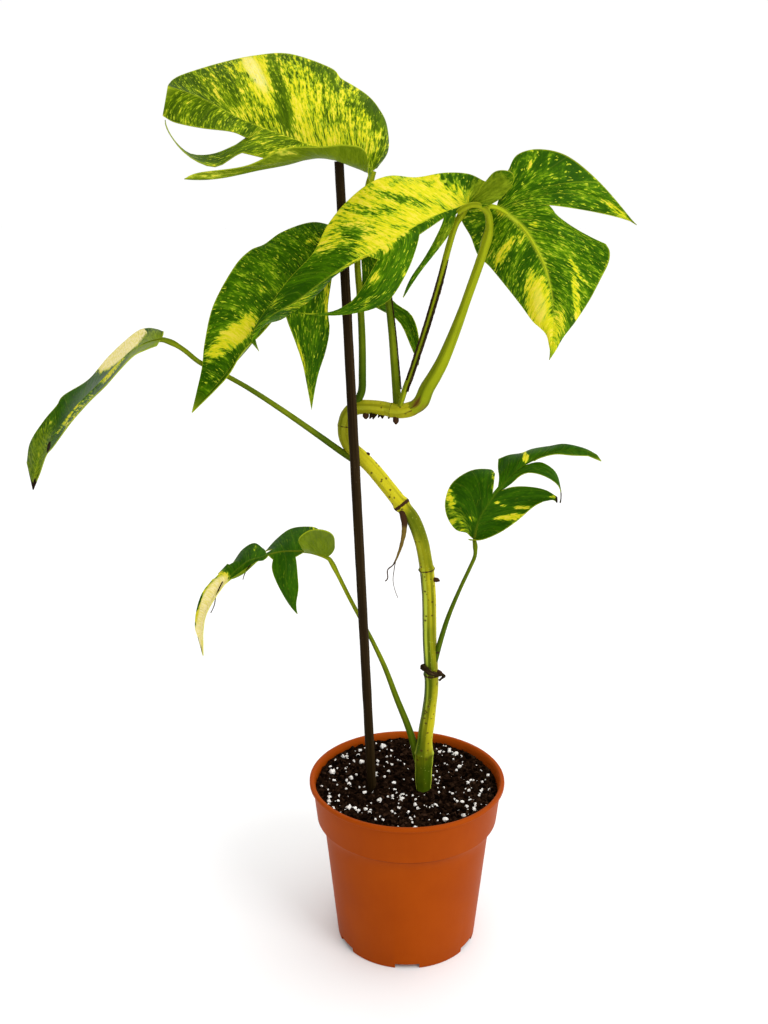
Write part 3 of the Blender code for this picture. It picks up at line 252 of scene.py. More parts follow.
DARK_LEAF = {
    "midrib": [
        (-20.5, 12, 359), (-35.5, 10, 355), (-53, 8, 345), (-68, 4, 329), (-83, 0, 313),
        (-97, -5, 296), (-111.5, -9, 279), (-130, -12, 258.5)
    ],
    "sides": [
        [
            (1, [
                (0, (-18.5, 15, 359.5), (-15.5, 17, 361.5)),
                (0, (-25, 15, 362), (-26, 20, 364.5)),
                (0.06, (-38.5, 15, 361), (-41.5, 22, 364)),
                (0.14, (-50.5, 15, 358.5), (-58, 25, 367)),
                (0.24, (-62.5, 14, 354), (-76, 25, 361.5)),
                (0.31, (-71, 13, 349), (-87.5, 24, 354)),
                (0.37, (-79, 12, 341.5), (-96, 22, 350.5)),
                (0.45, (-89.5, 10, 333), (-105.5, 19, 341)),
                (0.58, (-101.5, 6, 317), (-118, 12, 319)),
                (0.7, (-109, 1, 301), (-123, 5, 298)),
                (0.82, (-117.5, -5, 282), (-124.5, -1, 283.5)),
                (0.92, (-124, -9, 270), (-127.5, -7, 269.5)),
            ]),
        ],
        [
            (0.08, [
                (0, (-17.5, 15, 344.5), (-14.5, 17, 327.5), (-7.5, 19, 319), (1, 19, 313),
                 (5.5, 17, 301.5), (6, 15, 282)),
                (0.03, (-23, 13, 341), (-20.5, 17, 323), (-10.5, 19, 316), (-2, 21, 308),
                 (3.5, 19, 296), (6, 15, 282)),
                (0.06, (-28.5, 13, 340), (-27, 15, 322), (-16, 17, 315), (-6, 18, 308.5),
                 (1, 17, 294), (6, 15, 282)),
            ]),
            (0.1, [
                (0.15, (-44.5, 8, 345), (-47, 8, 331.5), (-49, 8, 317.5), (-48, 7, 305.5),
                 (-50.5, 6, 292.5), (-55.5, 5, 277.5), (-59.5, 4, 256.5)),
                (0.28, (-55, 6, 329), (-56.5, 4, 311.5), (-58, 3, 293.5), (-59, 3, 275.5),
                 (-59.5, 4, 256.5)),
                (0.42, (-75, 5, 319.5), (-73, 6, 310), (-69, 6, 299), (-64.5, 5, 285),
                 (-61.5, 4, 269), (-59.5, 4, 256.5)),
            ]),
            (1, [
                (0.46, (-73.5, 3, 321), (-74.5, 2, 319.5)),
                (0.6, (-87.5, -3, 306), (-87.5, -5, 305)),
                (0.7, (-96.5, -6, 295.5), (-95, -9, 298.5)),
                (0.78, (-103, -8, 288.5), (-100.5, -12, 292)),
                (0.86, (-111.5, -10, 278), (-107.5, -14, 281)),
                (0.93, (-120, -12, 268.5), (-117.5, -14, 270.5)),
            ]),
        ],
    ],
}
FAR_LEAF = {
    "midrib": [
        (-147, -8, 301.5), (-156, -10, 299.5), (-165, -12, 294.5), (-182.5, -16, 277.5),
        (-200, -18, 260.5), (-216, -18, 240), (-225, -16, 224), (-229, -12, 210.5)
    ],
    "sides": [
        [
            (1, [
                (0, (-146, -6, 304), (-146, -4, 306)),
                (0, (-149.5, 0, 304.5), (-152.5, 10, 305)),
                (0.03, (-155.5, 4, 302.5), (-159, 18, 304.5)),
                (0.08, (-162, 6, 298), (-166.5, 24, 302)),
                (0.18, (-172, 8, 291.5), (-176.5, 28, 294.5)),
                (0.3, (-183, 8, 281), (-188, 28, 284)),
                (0.45, (-197.5, 6, 267.5), (-200, 26, 271)),
                (0.55, (-208, 4, 258), (-215, 22, 262)),
                (0.65, (-214.5, -2, 248.5), (-218, 14, 257)),
                (0.75, (-221, -8, 242), (-224, 6, 249.5)),
                (0.85, (-226.5, -12, 232.5), (-231, -2, 238)),
                (0.93, (-229, -13, 222), (-232.5, -8, 226.5)),
            ]),
        ],
        [
            (1, [
                (0, (-147, -14, 301), (-147, -20, 300)),
                (0.02, (-150.5, -20, 300.5), (-151.5, -32, 299.5)),
                (0.08, (-156.5, -24, 298), (-157, -42, 297.5)),
                (0.2, (-166, -28, 290.5), (-164.5, -46, 290)),
                (0.32, (-176, -30, 279.5), (-172, -48, 282)),
                (0.45, (-186, -30, 270), (-182, -46, 273)),
                (0.58, (-197, -30, 258.5), (-194, -42, 260.5)),
                (0.7, (-207.5, -26, 246.5), (-208, -34, 243.5)),
                (0.82, (-216.5, -22, 236.5), (-214.5, -28, 236.5)),
                (0.92, (-224, -16, 221.5), (-221.5, -20, 223.5)),
            ]),
        ],
    ],
}
LOW_LEFT_LEAF = {
    "midrib": [
        (-51.5, 6, 161), (-61, 4, 164.5), (-70, 2, 166), (-79, 0, 166.5), (-85.5, -2, 166),
        (-92.5, -4, 164), (-100, -6, 162.5), (-107, -8, 157.5), (-117.5, -10, 148),
        (-123.5, -12, 138.5), (-129.5, -12, 126.5), (-132, -10, 113.5), (-131, -8, 99)
    ],
    "sides": [
        [
            (0.4, [
                (0, (-51.5, 10, 165), (-52.5, 16, 168.5)),
                (0.04, (-57.5, 12, 169.5), (-58, 22, 174.5)),
                (0.1, (-65, 12, 171), (-66.5, 25, 175)),
                (0.16, (-72.5, 10, 170.5), (-76, 23, 174)),
                (0.22, (-80.5, 6, 169), (-84, 17, 169.5)),
                (0.28, (-85.5, 2, 167), (-90.5, 7, 164.5)),
            ]),
            (0.8, [
                (0.33, (-89.5, 0, 165.5), (-91.5, 5, 166.5)),
                (0.37, (-96, 3, 166.5), (-98, 11, 168.5)),
                (0.42, (-102.5, 2, 164.5), (-105.5, 10, 164.5)),
                (0.47, (-106.5, -3, 161), (-111, 3, 158)),
            ]),
            (0.85, [
                (0.49, (-110.5, -5, 158), (-114, 0, 158.5)),
                (0.54, (-115, -6, 155), (-120, -2, 152.5)),
            ]),
            (1, [
                (0.57, (-118, -8, 151.5), (-123, -5, 150)),
                (0.65, (-126, -9, 143), (-130, -7, 141)),
                (0.74, (-131, -10, 132), (-134, -8, 129)),
                (0.83, (-134.5, -9, 120), (-135, -8, 117.5)),
                (0.89, (-133.5, -8.5, 111.5), (-132.5, -8, 110)),
            ]),
        ],
        [
            (0.1, [
                (0, (-48, 2, 165), (-46, -3, 170.5)),
                (0, (-49, -3, 172), (-46.5, -12, 181)),
                (0, (-54, -5, 174.5), (-52, -16, 186)),
                (0.03, (-59.5, -6, 174.5), (-60.5, -18, 186.5)),
                (0.07, (-64, -6, 171), (-67.5, -16, 180.5)),
                (0.12, (-65.5, -2, 167.5), (-66.5, -7, 171)),
            ]),
            (0.1, [
                (0.17, (-70.5, -3, 162), (-69.5, -7, 154), (-69, -9, 145), (-70.5, -9, 135.5),
                 (-70, -7, 127.5)),
                (0.22, (-76.5, -7, 161), (-76.5, -11, 150.5), (-74, -10, 138), (-70, -7, 127.5)),
                (0.27, (-85, -4, 162.5), (-85.5, -7, 158), (-83, -9, 150.5), (-76.5, -9, 137),
                 (-70.5, -7, 127.5)),
            ]),
            (0.85, [
                (0.3, (-89, -5, 164), (-91, -6, 163)),
                (0.34, (-94, -7, 163), (-96.5, -9, 162)),
                (0.37, (-99, -10, 160), (-102, -14, 157.5), (-109, -15, 154.5)),
                (0.43, (-103.5, -9, 157.5), (-106, -12, 155.5), (-109.5, -15, 154.5)),
            ]),
            (1, [
                (0.45, (-106.5, -9, 155.5), (-107.5, -11, 154.5)),
                (0.52, (-113, -11, 150.5), (-114, -13, 150.5)),
                (0.58, (-117.5, -13, 146), (-116.5, -16, 147.5)),
                (0.65, (-122.5, -15, 138.5), (-121.5, -18, 140.5)),
                (0.74, (-127, -14, 129.5), (-126.5, -18, 131)),
                (0.83, (-130.5, -12, 118.5), (-129, -15, 119.5)),
                (0.89, (-131, -10, 110.5), (-130, -12, 111)),
            ]),
        ],
    ],
}
LOW_RIGHT_LEAF = {
    "midrib": [
        (40.5, -6, 177), (43.5, -8, 190.5), (48, -9, 199.5), (55, -10, 210), (61.5, -10, 218),
        (70.5, -9, 226), (79, -8, 231), (94.5, -8, 234.5), (109.5, -9, 233.5), (116.5, -10, 228)
    ],
    "sides": [
        [
            (0.15, [
                (0, (38, -7, 179.5), (37, -7, 181.5)),
                (0, (35, -6, 184), (29.5, -4, 182.5)),
                (0, (33, -4, 190), (24, 0, 190)),
                (0.04, (34, -3, 198), (23, 3, 199.5)),
                (0.1, (38, -3, 206), (27.5, 6, 210)),
                (0.17, (43, -4, 211.5), (39, 7, 217.5)),
                (0.23, (48.5, -5, 213.5), (50.5, 6, 218.5)),
                (0.27, (52, -7, 213), (53.5, 3, 216.5)),
            ]),
            (1, [
                (0.31, (55, -8, 216.5), (55, 0, 221), (55.5, 5, 225.5)),
                (0.38, (60.5, -6, 223.5), (62, 5, 228)),
                (0.46, (67, -6, 228), (69.5, 4, 229.5)),
                (0.54, (73.5, -6, 231), (76.5, 3, 232.5)),
                (0.64, (83, -7, 233.5), (86.5, 0, 235)),
                (0.75, (94, -7, 236), (95, -3, 237)),
                (0.86, (105, -8, 235), (106.5, -6, 235)),
                (0.95, (112.5, -9, 232), (114, -8, 231.5)),
            ]),
        ],
        [
            (0.12, [
                (0, (39, -7, 176.5), (37, -8, 177.5)),
                (0, (43.5, -9, 178.5), (45, -12, 178.5)),
                (0.03, (49, -10, 184), (55.5, -16, 184.5)),
                (0.08, (55, -11, 191.5), (65.5, -18, 192.5)),
                (0.14, (62, -12, 197.5), (76.5, -18, 202.5)),
                (0.2, (68, -12, 202), (82.5, -17, 205.5), (86.5, -16, 205.5)),
                (0.23, (67.5, -12, 206), (82.5, -15, 207.5), (89.5, -15, 206), (90, -14, 203)),
                (0.26, (67.5, -11, 209.5), (81, -13, 210), (90, -15, 206.5)),
                (0.3, (60.5, -11, 211.5), (70.5, -11, 212.5), (82.5, -13, 211), (90, -15, 206.5)),
            ]),
            (0.15, [
                (0.32, (61.5, -11, 213.5), (67, -14, 220), (72.5, -16, 222.5), (82, -18, 220.5),
                 (90.5, -18, 214), (91.5, -16, 203.5)),
                (0.4, (67, -12, 222), (75.5, -14, 225), (84, -16, 223), (90.5, -17, 215.5),
                 (92, -16, 203.5)),
                (0.5, (74.5, -9, 226.5), (81, -10, 227), (88.5, -13, 222), (91.5, -15, 213),
                 (92, -16, 203.5)),
            ]),
            (1, [
                (0.52, (75, -9, 228), (75.5, -11, 228.5)),
                (0.58, (80, -10, 230.5), (80, -12, 231)),
                (0.68, (88, -10, 232.5), (88.5, -12, 233)),
                (0.79, (98.5, -11, 233), (98.5, -13, 232.5)),
                (0.9, (108, -11, 232), (108, -12, 232)),
            ]),
        ],
    ],
}
STEM_PATH = [
    (11, -4, 1.5), (11, -4, 18.5), (11.5, -4, 35.5), (14, -4, 57.5), (15.5, -3, 72.5),
    (15, -3, 90.5), (14, -2, 107.5), (13.5, -1, 131), (12.5, 0, 147.5), (11, 0, 159.5),
    (8, 1, 174), (3, 2, 187), (-4, 4, 196), (-13, 7, 207), (-21.5, 10, 217), (-29, 12, 224.5),
    (-35.5, 13, 230.5), (-39, 13, 237.5), (-39.5, 13, 244.5), (-37.5, 13, 251.5),
    (-32.5, 12.5, 256), (-25, 11, 257), (-16.5, 8, 257), (-8, 5, 256), (-0.5, 3, 257),
    (5.5, 1, 260.5), (9, 0, 265.5)
]
RIGHT_PETIOLE = [
    (7.5, 0.5, 263), (10.5, 0, 270.5), (15, -1, 278.5), (20, -2, 288.5), (28, -4, 309.5),
    (35, -6, 330.5), (41.5, -7, 350.5), (45, -6, 363.5), (47.5, -4, 372), (49.5, -0.5, 376)
]
TOP_PETIOLE = [
    (-35.5, 13, 254), (-32, 12, 260), (-29, 11, 267), (-28.5, 9, 277.5), (-28.5, 7, 299),
    (-29.5, 6, 323), (-31, 5, 346.5), (-29.5, 4.5, 369.5), (-25, 5, 385.5), (-23, 6, 392.5),
    (-21.5, 6.5, 397)
]
DARK_PETIOLE = [
    (-7.5, 6, 257), (-7.5, 8, 264), (-8, 7.5, 271.5), (-9, 7, 284), (-10.5, 6.5, 302),
    (-12.5, 7, 320), (-14.5, 8, 337.5), (-17.5, 10, 351), (-20, 12, 357.5)
]
STREAKED_PETIOLE = [
    (-6, 4, 257.5), (-4.5, 1, 263.5), (-2.5, 0.5, 270.5), (0.5, 0, 279), (4, -1, 290),
    (10, -2, 309.5), (17.5, -3, 336), (22.5, -4, 356), (26, -5, 367.5), (30, -5.5, 374.5),
    (32, -6, 378.5)
]
FAR_PETIOLE = [
    (-30.5, 13, 220), (-36.5, 12, 224.5), (-46, 10, 232), (-55, 9, 239), (-76, 8, 254.5),
    (-97, 7, 269), (-112, 6, 278), (-126.5, 4, 286), (-134.5, 1, 293.5), (-139.5, -3, 298),
    (-143.5, -6, 300.5), (-146.5, -8, 301.5)
]
LOW_LEFT_PETIOLE = [
    (9.5, -3, 12), (6.5, -2, 23.5), (4, -1, 34), (0, 1, 46), (-6.5, 4, 62), (-14.5, 8, 83),
    (-21.3, 10, 98), (-27.2, 11, 110), (-37.5, 11, 131), (-45, 9.5, 148), (-49, 8, 157),
    (-51, 6.5, 160)
]
LOW_RIGHT_PETIOLE = [
    (16.5, -3, 88), (19, -4, 100), (22.5, -4.5, 114), (26, -5, 126), (32.5, -5.5, 143.5),
    (38.5, -6, 158), (41.5, -6, 166), (41.5, -6, 173), (41, -6, 176.5)
]
AERIAL_ROOT = [
    (-4.5, 3, 194.5), (-3.5, 0, 191), (-2.5, -2, 185), (-3.5, -3, 176.5), (-6, -3, 167),
    (-9.5, -3, 159), (-13, -3, 155.5), (-13, -3, 150), (-14.5, -3, 148)
]
HAIR_ROOT = [
    (-8, -4.5, 161.5), (-9, -5, 156), (-9.5, -5, 148), (-6.5, -5, 137.5)
]
# Where the right leaf's stalk arches over at its top
RIGHT_CROOK = [
    (45.0, -9.0, 369.5), (43.6, -11.0, 374.5), (40.0, -12.5, 378.0), (35.5, -13.0, 379.0),
    (31.0, -12.0, 377.5), (27.0, -10.0, 374.5)
]
# The same stalk from inside the stem's end to the arch, and the raised midrib that starts at the arch
RIGHT_STALK = [(0.5, 2.5, 257.6), (4.5, 1.3, 259.8)] + RIGHT_PETIOLE[:-2]
PALE_MIDRIB = [(43.0, -9.0, 375.5), (45.4, -9.0, 378.0)] + RIGHT_LEAF["midrib"][1:7]


# ---- Finishes ---------------------------------------------------------------------------------------
class Value:
    """A node's output that takes part in Python expressions."""

    def __init__(self, nodes, socket):
        self.nodes = nodes
        self.socket = socket

    def math(self, operation, *others):
        inputs = dict(enumerate((self,) + others))
        return self.nodes.node("ShaderNodeMath", {"operation": operation}, inputs)

    def __add__(self, other):
        return self.math("ADD", other)

    __radd__ = __add__

    def __sub__(self, other):
        return self.math("SUBTRACT", other)

    def __rsub__(self, other):
        return self.math("MULTIPLY", -1.0) + other

    def __mul__(self, other):
        return self.math("MULTIPLY", other)

    __rmul__ = __mul__

    def distance(self):
        """How far the value is from the nearest whole number."""
        return (self.math("FRACT") - 0.5).math("ABSOLUTE") * -1.0 + 0.5

    def between(self, low, high):
        """0 under low and 1 over high, or the other way round if low is the larger."""
        settings = {"interpolation_type": "SMOOTHSTEP"}
        if low > high:
            inputs = {"Value": self, "From Min": high, "From Max": low, "To Min": 1.0, "To Max": 0.0}
        else:
            inputs = {"Value": self, "From Min": low, "From Max": high, "To Min": 0.0, "To Max": 1.0}
        return self.nodes.node("ShaderNodeMapRange", settings, inputs)

    def clamped(self):
        return self.nodes.node("ShaderNodeClamp", {}, {"Value": self})


class Nodes:
    """A node tree, and the one method that adds to it."""

    def __init__(self, tree):
        self.tree = tree

    def node(self, kind, settings, inputs, output=0):
        made = self.tree.nodes.new(kind)
        for key, value in settings.items():
            if key == "stops":
                self.set_stops(made.color_ramp, value)
            else:
                setattr(made, key, value)
        for key, value in inputs.items():
            self.feed(made.inputs[key], value)
        return Value(self, made.outputs[output])

    def set_stops(self, ramp, stops):
        while len(ramp.elements) < len(stops):
            ramp.elements.new(0.5)
        for element, (place, colour) in zip(ramp.elements, stops):
            element.position = place
            element.color = (*colour, 1.0)

    def feed(self, socket, value):
        if isinstance(value, Value):
            self.tree.links.new(value.socket, socket)
        elif isinstance(value, tuple) and len(value) == 3 and socket.type == "RGBA":
            socket.default_value = (*value, 1.0)
        else:
            socket.default_value = value

    def part_of(self, vector, axis):
        return self.node("ShaderNodeSeparateXYZ", {}, {0: vector}, axis)


class Finish(Nodes):
    """A material with one Principled shader, whose constants are given by the names of its sockets."""

    def __init__(self, name, **constants):
        self.material = bpy.data.materials.new(name)
        self.material.use_nodes = True
        super().__init__(self.material.node_tree)
        self.shader = self.tree.nodes["Principled BSDF"]
        for socket, value in constants.items():
            self.shader.inputs[socket.replace("_", " ")].default_value = value

    def place(self):
        return self.node("ShaderNodeTexCoord", {}, {}, "Object")

    def chart(self, name):
        """One of the piece's own UV maps."""
        return self.node("ShaderNodeUVMap", {"uv_map": name}, {})

    def painted(self, name):
        """A number that the piece holds at each of its points."""
        return self.node("ShaderNodeAttribute", {"attribute_name": name}, {}, "Fac")

    def stretched(self, vector, scale, shift=(0.0, 0.0, 0.0)):
        return self.node(
            "ShaderNodeMapping", {}, {"Vector": vector, "Scale": scale, "Location": shift}
        )

    def noise(self, vector, scale, detail=3.0, roughness=0.55, distortion=0.0):
        inputs = {
            "Vector": vector, "Scale": scale, "Detail": detail, "Roughness": roughness,
            "Distortion": distortion,
        }
        return self.node("ShaderNodeTexNoise", {}, inputs)

    def cells(self, vector, scale, feature="F1"):
        return self.node(
            "ShaderNodeTexVoronoi", {"feature": feature}, {"Vector": vector, "Scale": scale}, "Distance"
        )

    def mix(self, factor, first, second):
        settings = {"data_type": "RGBA", "clamp_factor": True}
        return self.node("ShaderNodeMix", settings, {0: factor, 6: first, 7: second}, 2)

    def ramp(self, value, *stops):
        return self.node("ShaderNodeValToRGB", {"stops": stops}, {"Fac": value})

    def set(self, colour=None, roughness=None, height=None, depth=0.0002, strength=1.0):
        if colour is not None:
            self.feed(self.shader.inputs["Base Color"], colour)
        if roughness is not None:
            self.feed(self.shader.inputs["Roughness"], roughness)
        if height is not None:
            inputs = {"Height": height, "Distance": depth, "Strength": strength}
            self.feed(self.shader.inputs["Normal"], self.node("ShaderNodeBump", {}, inputs))
        return self.material


def pot_finish():
    """Satin injection-moulded plastic: faint turning lines, cloudy colour, scuffs, a little dust and a dark
    line of painted shadow under the band.
    """
    finish = Finish("orange pot plastic", IOR=1.46, Specular_IOR_Level=0.035)
    place = finish.place()
    clouds = finish.noise(place, 26.0, 4.0)
    drawn = finish.noise(finish.stretched(place, (30.0, 30.0, 6.0)), 12.0, 3.0)
    grain = finish.noise(place, 900.0, 2.0)
    lines = finish.noise(finish.stretched(place, (0.0, 0.0, 1.0)), 700.0, 2.0)
    shade = (clouds * 0.85 + drawn * 0.15).between(0.30, 0.70)
    colour = finish.mix(shade, (0.292, 0.045, 0.0008), (0.328, 0.053, 0.0012))
    dusty = finish.cells(place, 300.0).between(0.11, 0.0) * finish.noise(place, 60.0, 2.0).between(0.55, 0.70)
    colour = finish.mix(dusty * 0.22, colour, (0.52, 0.19, 0.060))
    scuffs = finish.noise(finish.stretched(place, (1.0, 1.0, 5.0)), 210.0, 3.0, 0.7).between(0.68, 0.76)
    colour = finish.mix(scuffs * 0.16, colour, (0.44, 0.105, 0.014))
    level = finish.part_of(place, "Z")
    # A dark line painted just under the band's bottom edge: painted shadow where the band overhangs the
    # shoulder.
    painted_band_shadow = level.between(BAND_BOTTOM - 2.6 * MM, BAND_BOTTOM - 1.2 * MM)
    painted_band_shadow = painted_band_shadow * level.between(BAND_BOTTOM + 0.1 * MM, BAND_BOTTOM - 0.4 * MM)
    colour = finish.mix(painted_band_shadow * 0.70, colour, (0.120, 0.016, 0.0004))
    roughness = clouds * 0.14 + grain * 0.10 + scuffs * 0.12 + 0.34
    height = grain * 0.30 + lines * 0.35 + drawn * 0.05
    return finish.set(colour, roughness, height, 0.00010, 0.3)


def soil_finish():
    finish = Finish("dark potting soil", Specular_IOR_Level=0.0)
    place = finish.place()
    clods = finish.noise(place, 240.0, 5.0, 0.65)
    specks = finish.noise(place, 900.0, 3.0, 0.7)
    colour = finish.ramp(
        clods * 0.55 + specks * 0.45,
        (0.36, (0.0030, 0.0014, 0.0008)),
        (0.52, (0.0110, 0.0052, 0.0027)),
        (0.66, (0.0400, 0.0200, 0.0110)),
    )
    return finish.set(colour, clods * 0.2 + 0.75, clods * 0.6 + specks * 0.4, 0.0012, 0.9)


def crumb_finish():
    """The same soil, as loose crumbs, fibres and bits of bark, each a little lighter or darker."""
    finish = Finish("soil crumbs", Specular_IOR_Level=0.0)
    place = finish.place()
    own = finish.painted("own")
    clods = finish.noise(place, 520.0, 4.0, 0.65)
    colour = finish.ramp(
        own * 0.65 + clods * 0.35,
        (0.30, (0.0026, 0.0012, 0.0007)),
        (0.62, (0.0100, 0.0048, 0.0026)),
        (0.84, (0.0400, 0.0200, 0.0110)),
    )
    return finish.set(colour, 0.9, clods, 0.0006, 0.8)


def perlite_finish():
    finish = Finish("white perlite", Roughness=0.9, Specular_IOR_Level=0.15)
    place = finish.place()
    pits = finish.cells(place, 1500.0)
    stain = finish.noise(place, 420.0, 3.0).between(0.52, 0.74)
    colour = finish.mix(stain * 0.40, (0.90, 0.87, 0.82), (0.48, 0.37, 0.26))
    return finish.set(colour, 0.9, pits, 0.0005, 0.8)


def stake_finish():
    """Dark cane: lengthwise grain, a lighter band down one side that is a painted highlight, and small pale
    scars.
    """
    finish = Finish("dark stake wood", Specular_IOR_Level=0.02)
    along = finish.chart("wrap")
    grain = finish.noise(finish.stretched(along, (34.0, 20.0, 1.0)), 1.0, 5.0, 0.6)
    broad = finish.noise(finish.stretched(along, (5.0, 3.0, 1.0)), 1.0, 3.0)
    around = finish.part_of(along, "X")
    # A lighter band down one side of the cane, at a fixed turn round it: a painted highlight.
    painted_highlight_band = (around - 0.16).math("ABSOLUTE").between(0.13, 0.03)
    colour = finish.ramp(
        grain * 0.7 + broad * 0.3,
        (0.30, (0.0060, 0.0034, 0.0010)),
        (0.52, (0.0175, 0.0100, 0.0030)),
        (0.72, (0.0420, 0.0250, 0.0090)),
    )
    colour = finish.mix(painted_highlight_band * 0.35, colour, (0.052, 0.032, 0.012))
    scars = finish.cells(finish.stretched(along, (9.0, 260.0, 1.0)), 1.0).between(0.16, 0.04)
    scars = scars * broad.between(0.5, 0.62)
    colour = finish.mix(scars * 0.6, colour, (0.22, 0.17, 0.12))
    return finish.set(colour, grain * 0.25 + 0.38, grain, 0.0005, 0.8)


def green_wood_finish(name, low, high, dark, groove_count, dotted):
    """A green stem, leaf stalk or root. The painted numbers say how yellow, grooved, papery or corky each
    place is; the grooves are also painted darker, as painted shade. Fine lines run along it, and dotted says
    how much its brown and pale dots show."""
    finish = Finish(name, IOR=1.42, Specular_IOR_Level=0.03)
    along = finish.chart("wrap")
    place = finish.place()
    lines = finish.noise(finish.stretched(along, (groove_count, 14.0, 1.0)), 1.0, 4.0, 0.6)
    ridge_chart = finish.stretched(along, (groove_count * 0.45, 5.0, 1.0), (7.0, 0.0, 0.0))
    ridges = finish.noise(ridge_chart, 1.0, 1.0, 0.4)
    broad = finish.noise(finish.stretched(place, (1.0, 1.0, 0.6)), 60.0, 3.0)
    fine = finish.noise(finish.stretched(along, (26.0, 160.0, 1.0)), 1.0, 2.0)
    sun = finish.painted("sun")
    grooved = finish.painted("grooved")
    base = finish.mix((sun + (broad - 0.5) * 0.7).between(0.1, 0.9), low, high)
    base = finish.mix(lines.between(0.50, 0.66) * 0.40, base, dark)
    # Painted shade: the colour turns dark where the height below dips into the grooves.
    base = finish.mix(ridges.between(0.52, 0.36) * grooved, base, dark)
    base = finish.mix(ridges.between(0.58, 0.66) * grooved * 0.8, base, (0.45, 0.53, 0.045))
    tan = (finish.painted("tan") + (lines - 0.5) * 1.2 + (fine - 0.5) * 0.8).between(0.35, 0.75)
    papery = finish.mix(lines.between(0.40, 0.62), (0.270, 0.175, 0.020), (0.090, 0.042, 0.006))
    base = finish.mix(tan, base, papery)
    dots = finish.cells(finish.stretched(along, (7.0, 300.0, 1.0)), 1.0).between(0.26, 0.16)
    base = finish.mix(dots * broad.between(0.46, 0.56) * (0.85 * dotted), base, (0.060, 0.034, 0.006))
    pale = finish.cells(finish.stretched(along, (12.0, 560.0, 1.0), (3.0, 0.4, 0.0)), 1.0).between(0.20, 0.06)
    base = finish.mix(pale * (0.40 * dotted), base, (0.50, 0.56, 0.10))
    scar = (finish.painted("scar") + (fine - 0.5) * 0.8).between(0.36, 0.60)
    base = finish.mix(scar, base, (0.040, 0.018, 0.007))
    roughness = scar * 0.35 + lines * 0.12 + 0.34
    height = lines * 0.5 + fine * 0.3 + scar * 0.4 - ridges.between(0.60, 0.36) * grooved * 0.8
    return finish.set(base, roughness, height, 0.0006, 0.6)


def dry_finish():
    finish = Finish("dry brown sheath", Specular_IOR_Level=0.02)
    along = finish.chart("wrap")
    fibres = finish.noise(finish.stretched(along, (7.0, 90.0, 1.0)), 1.0, 4.0, 0.65)
    colour = finish.ramp(
        fibres,
        (0.35, (0.010, 0.005, 0.002)),
        (0.55, (0.024, 0.015, 0.005)),
        (0.74, (0.160, 0.095, 0.035)),
    )
    return finish.set(colour, 0.85, fibres, 0.0004, 0.8)


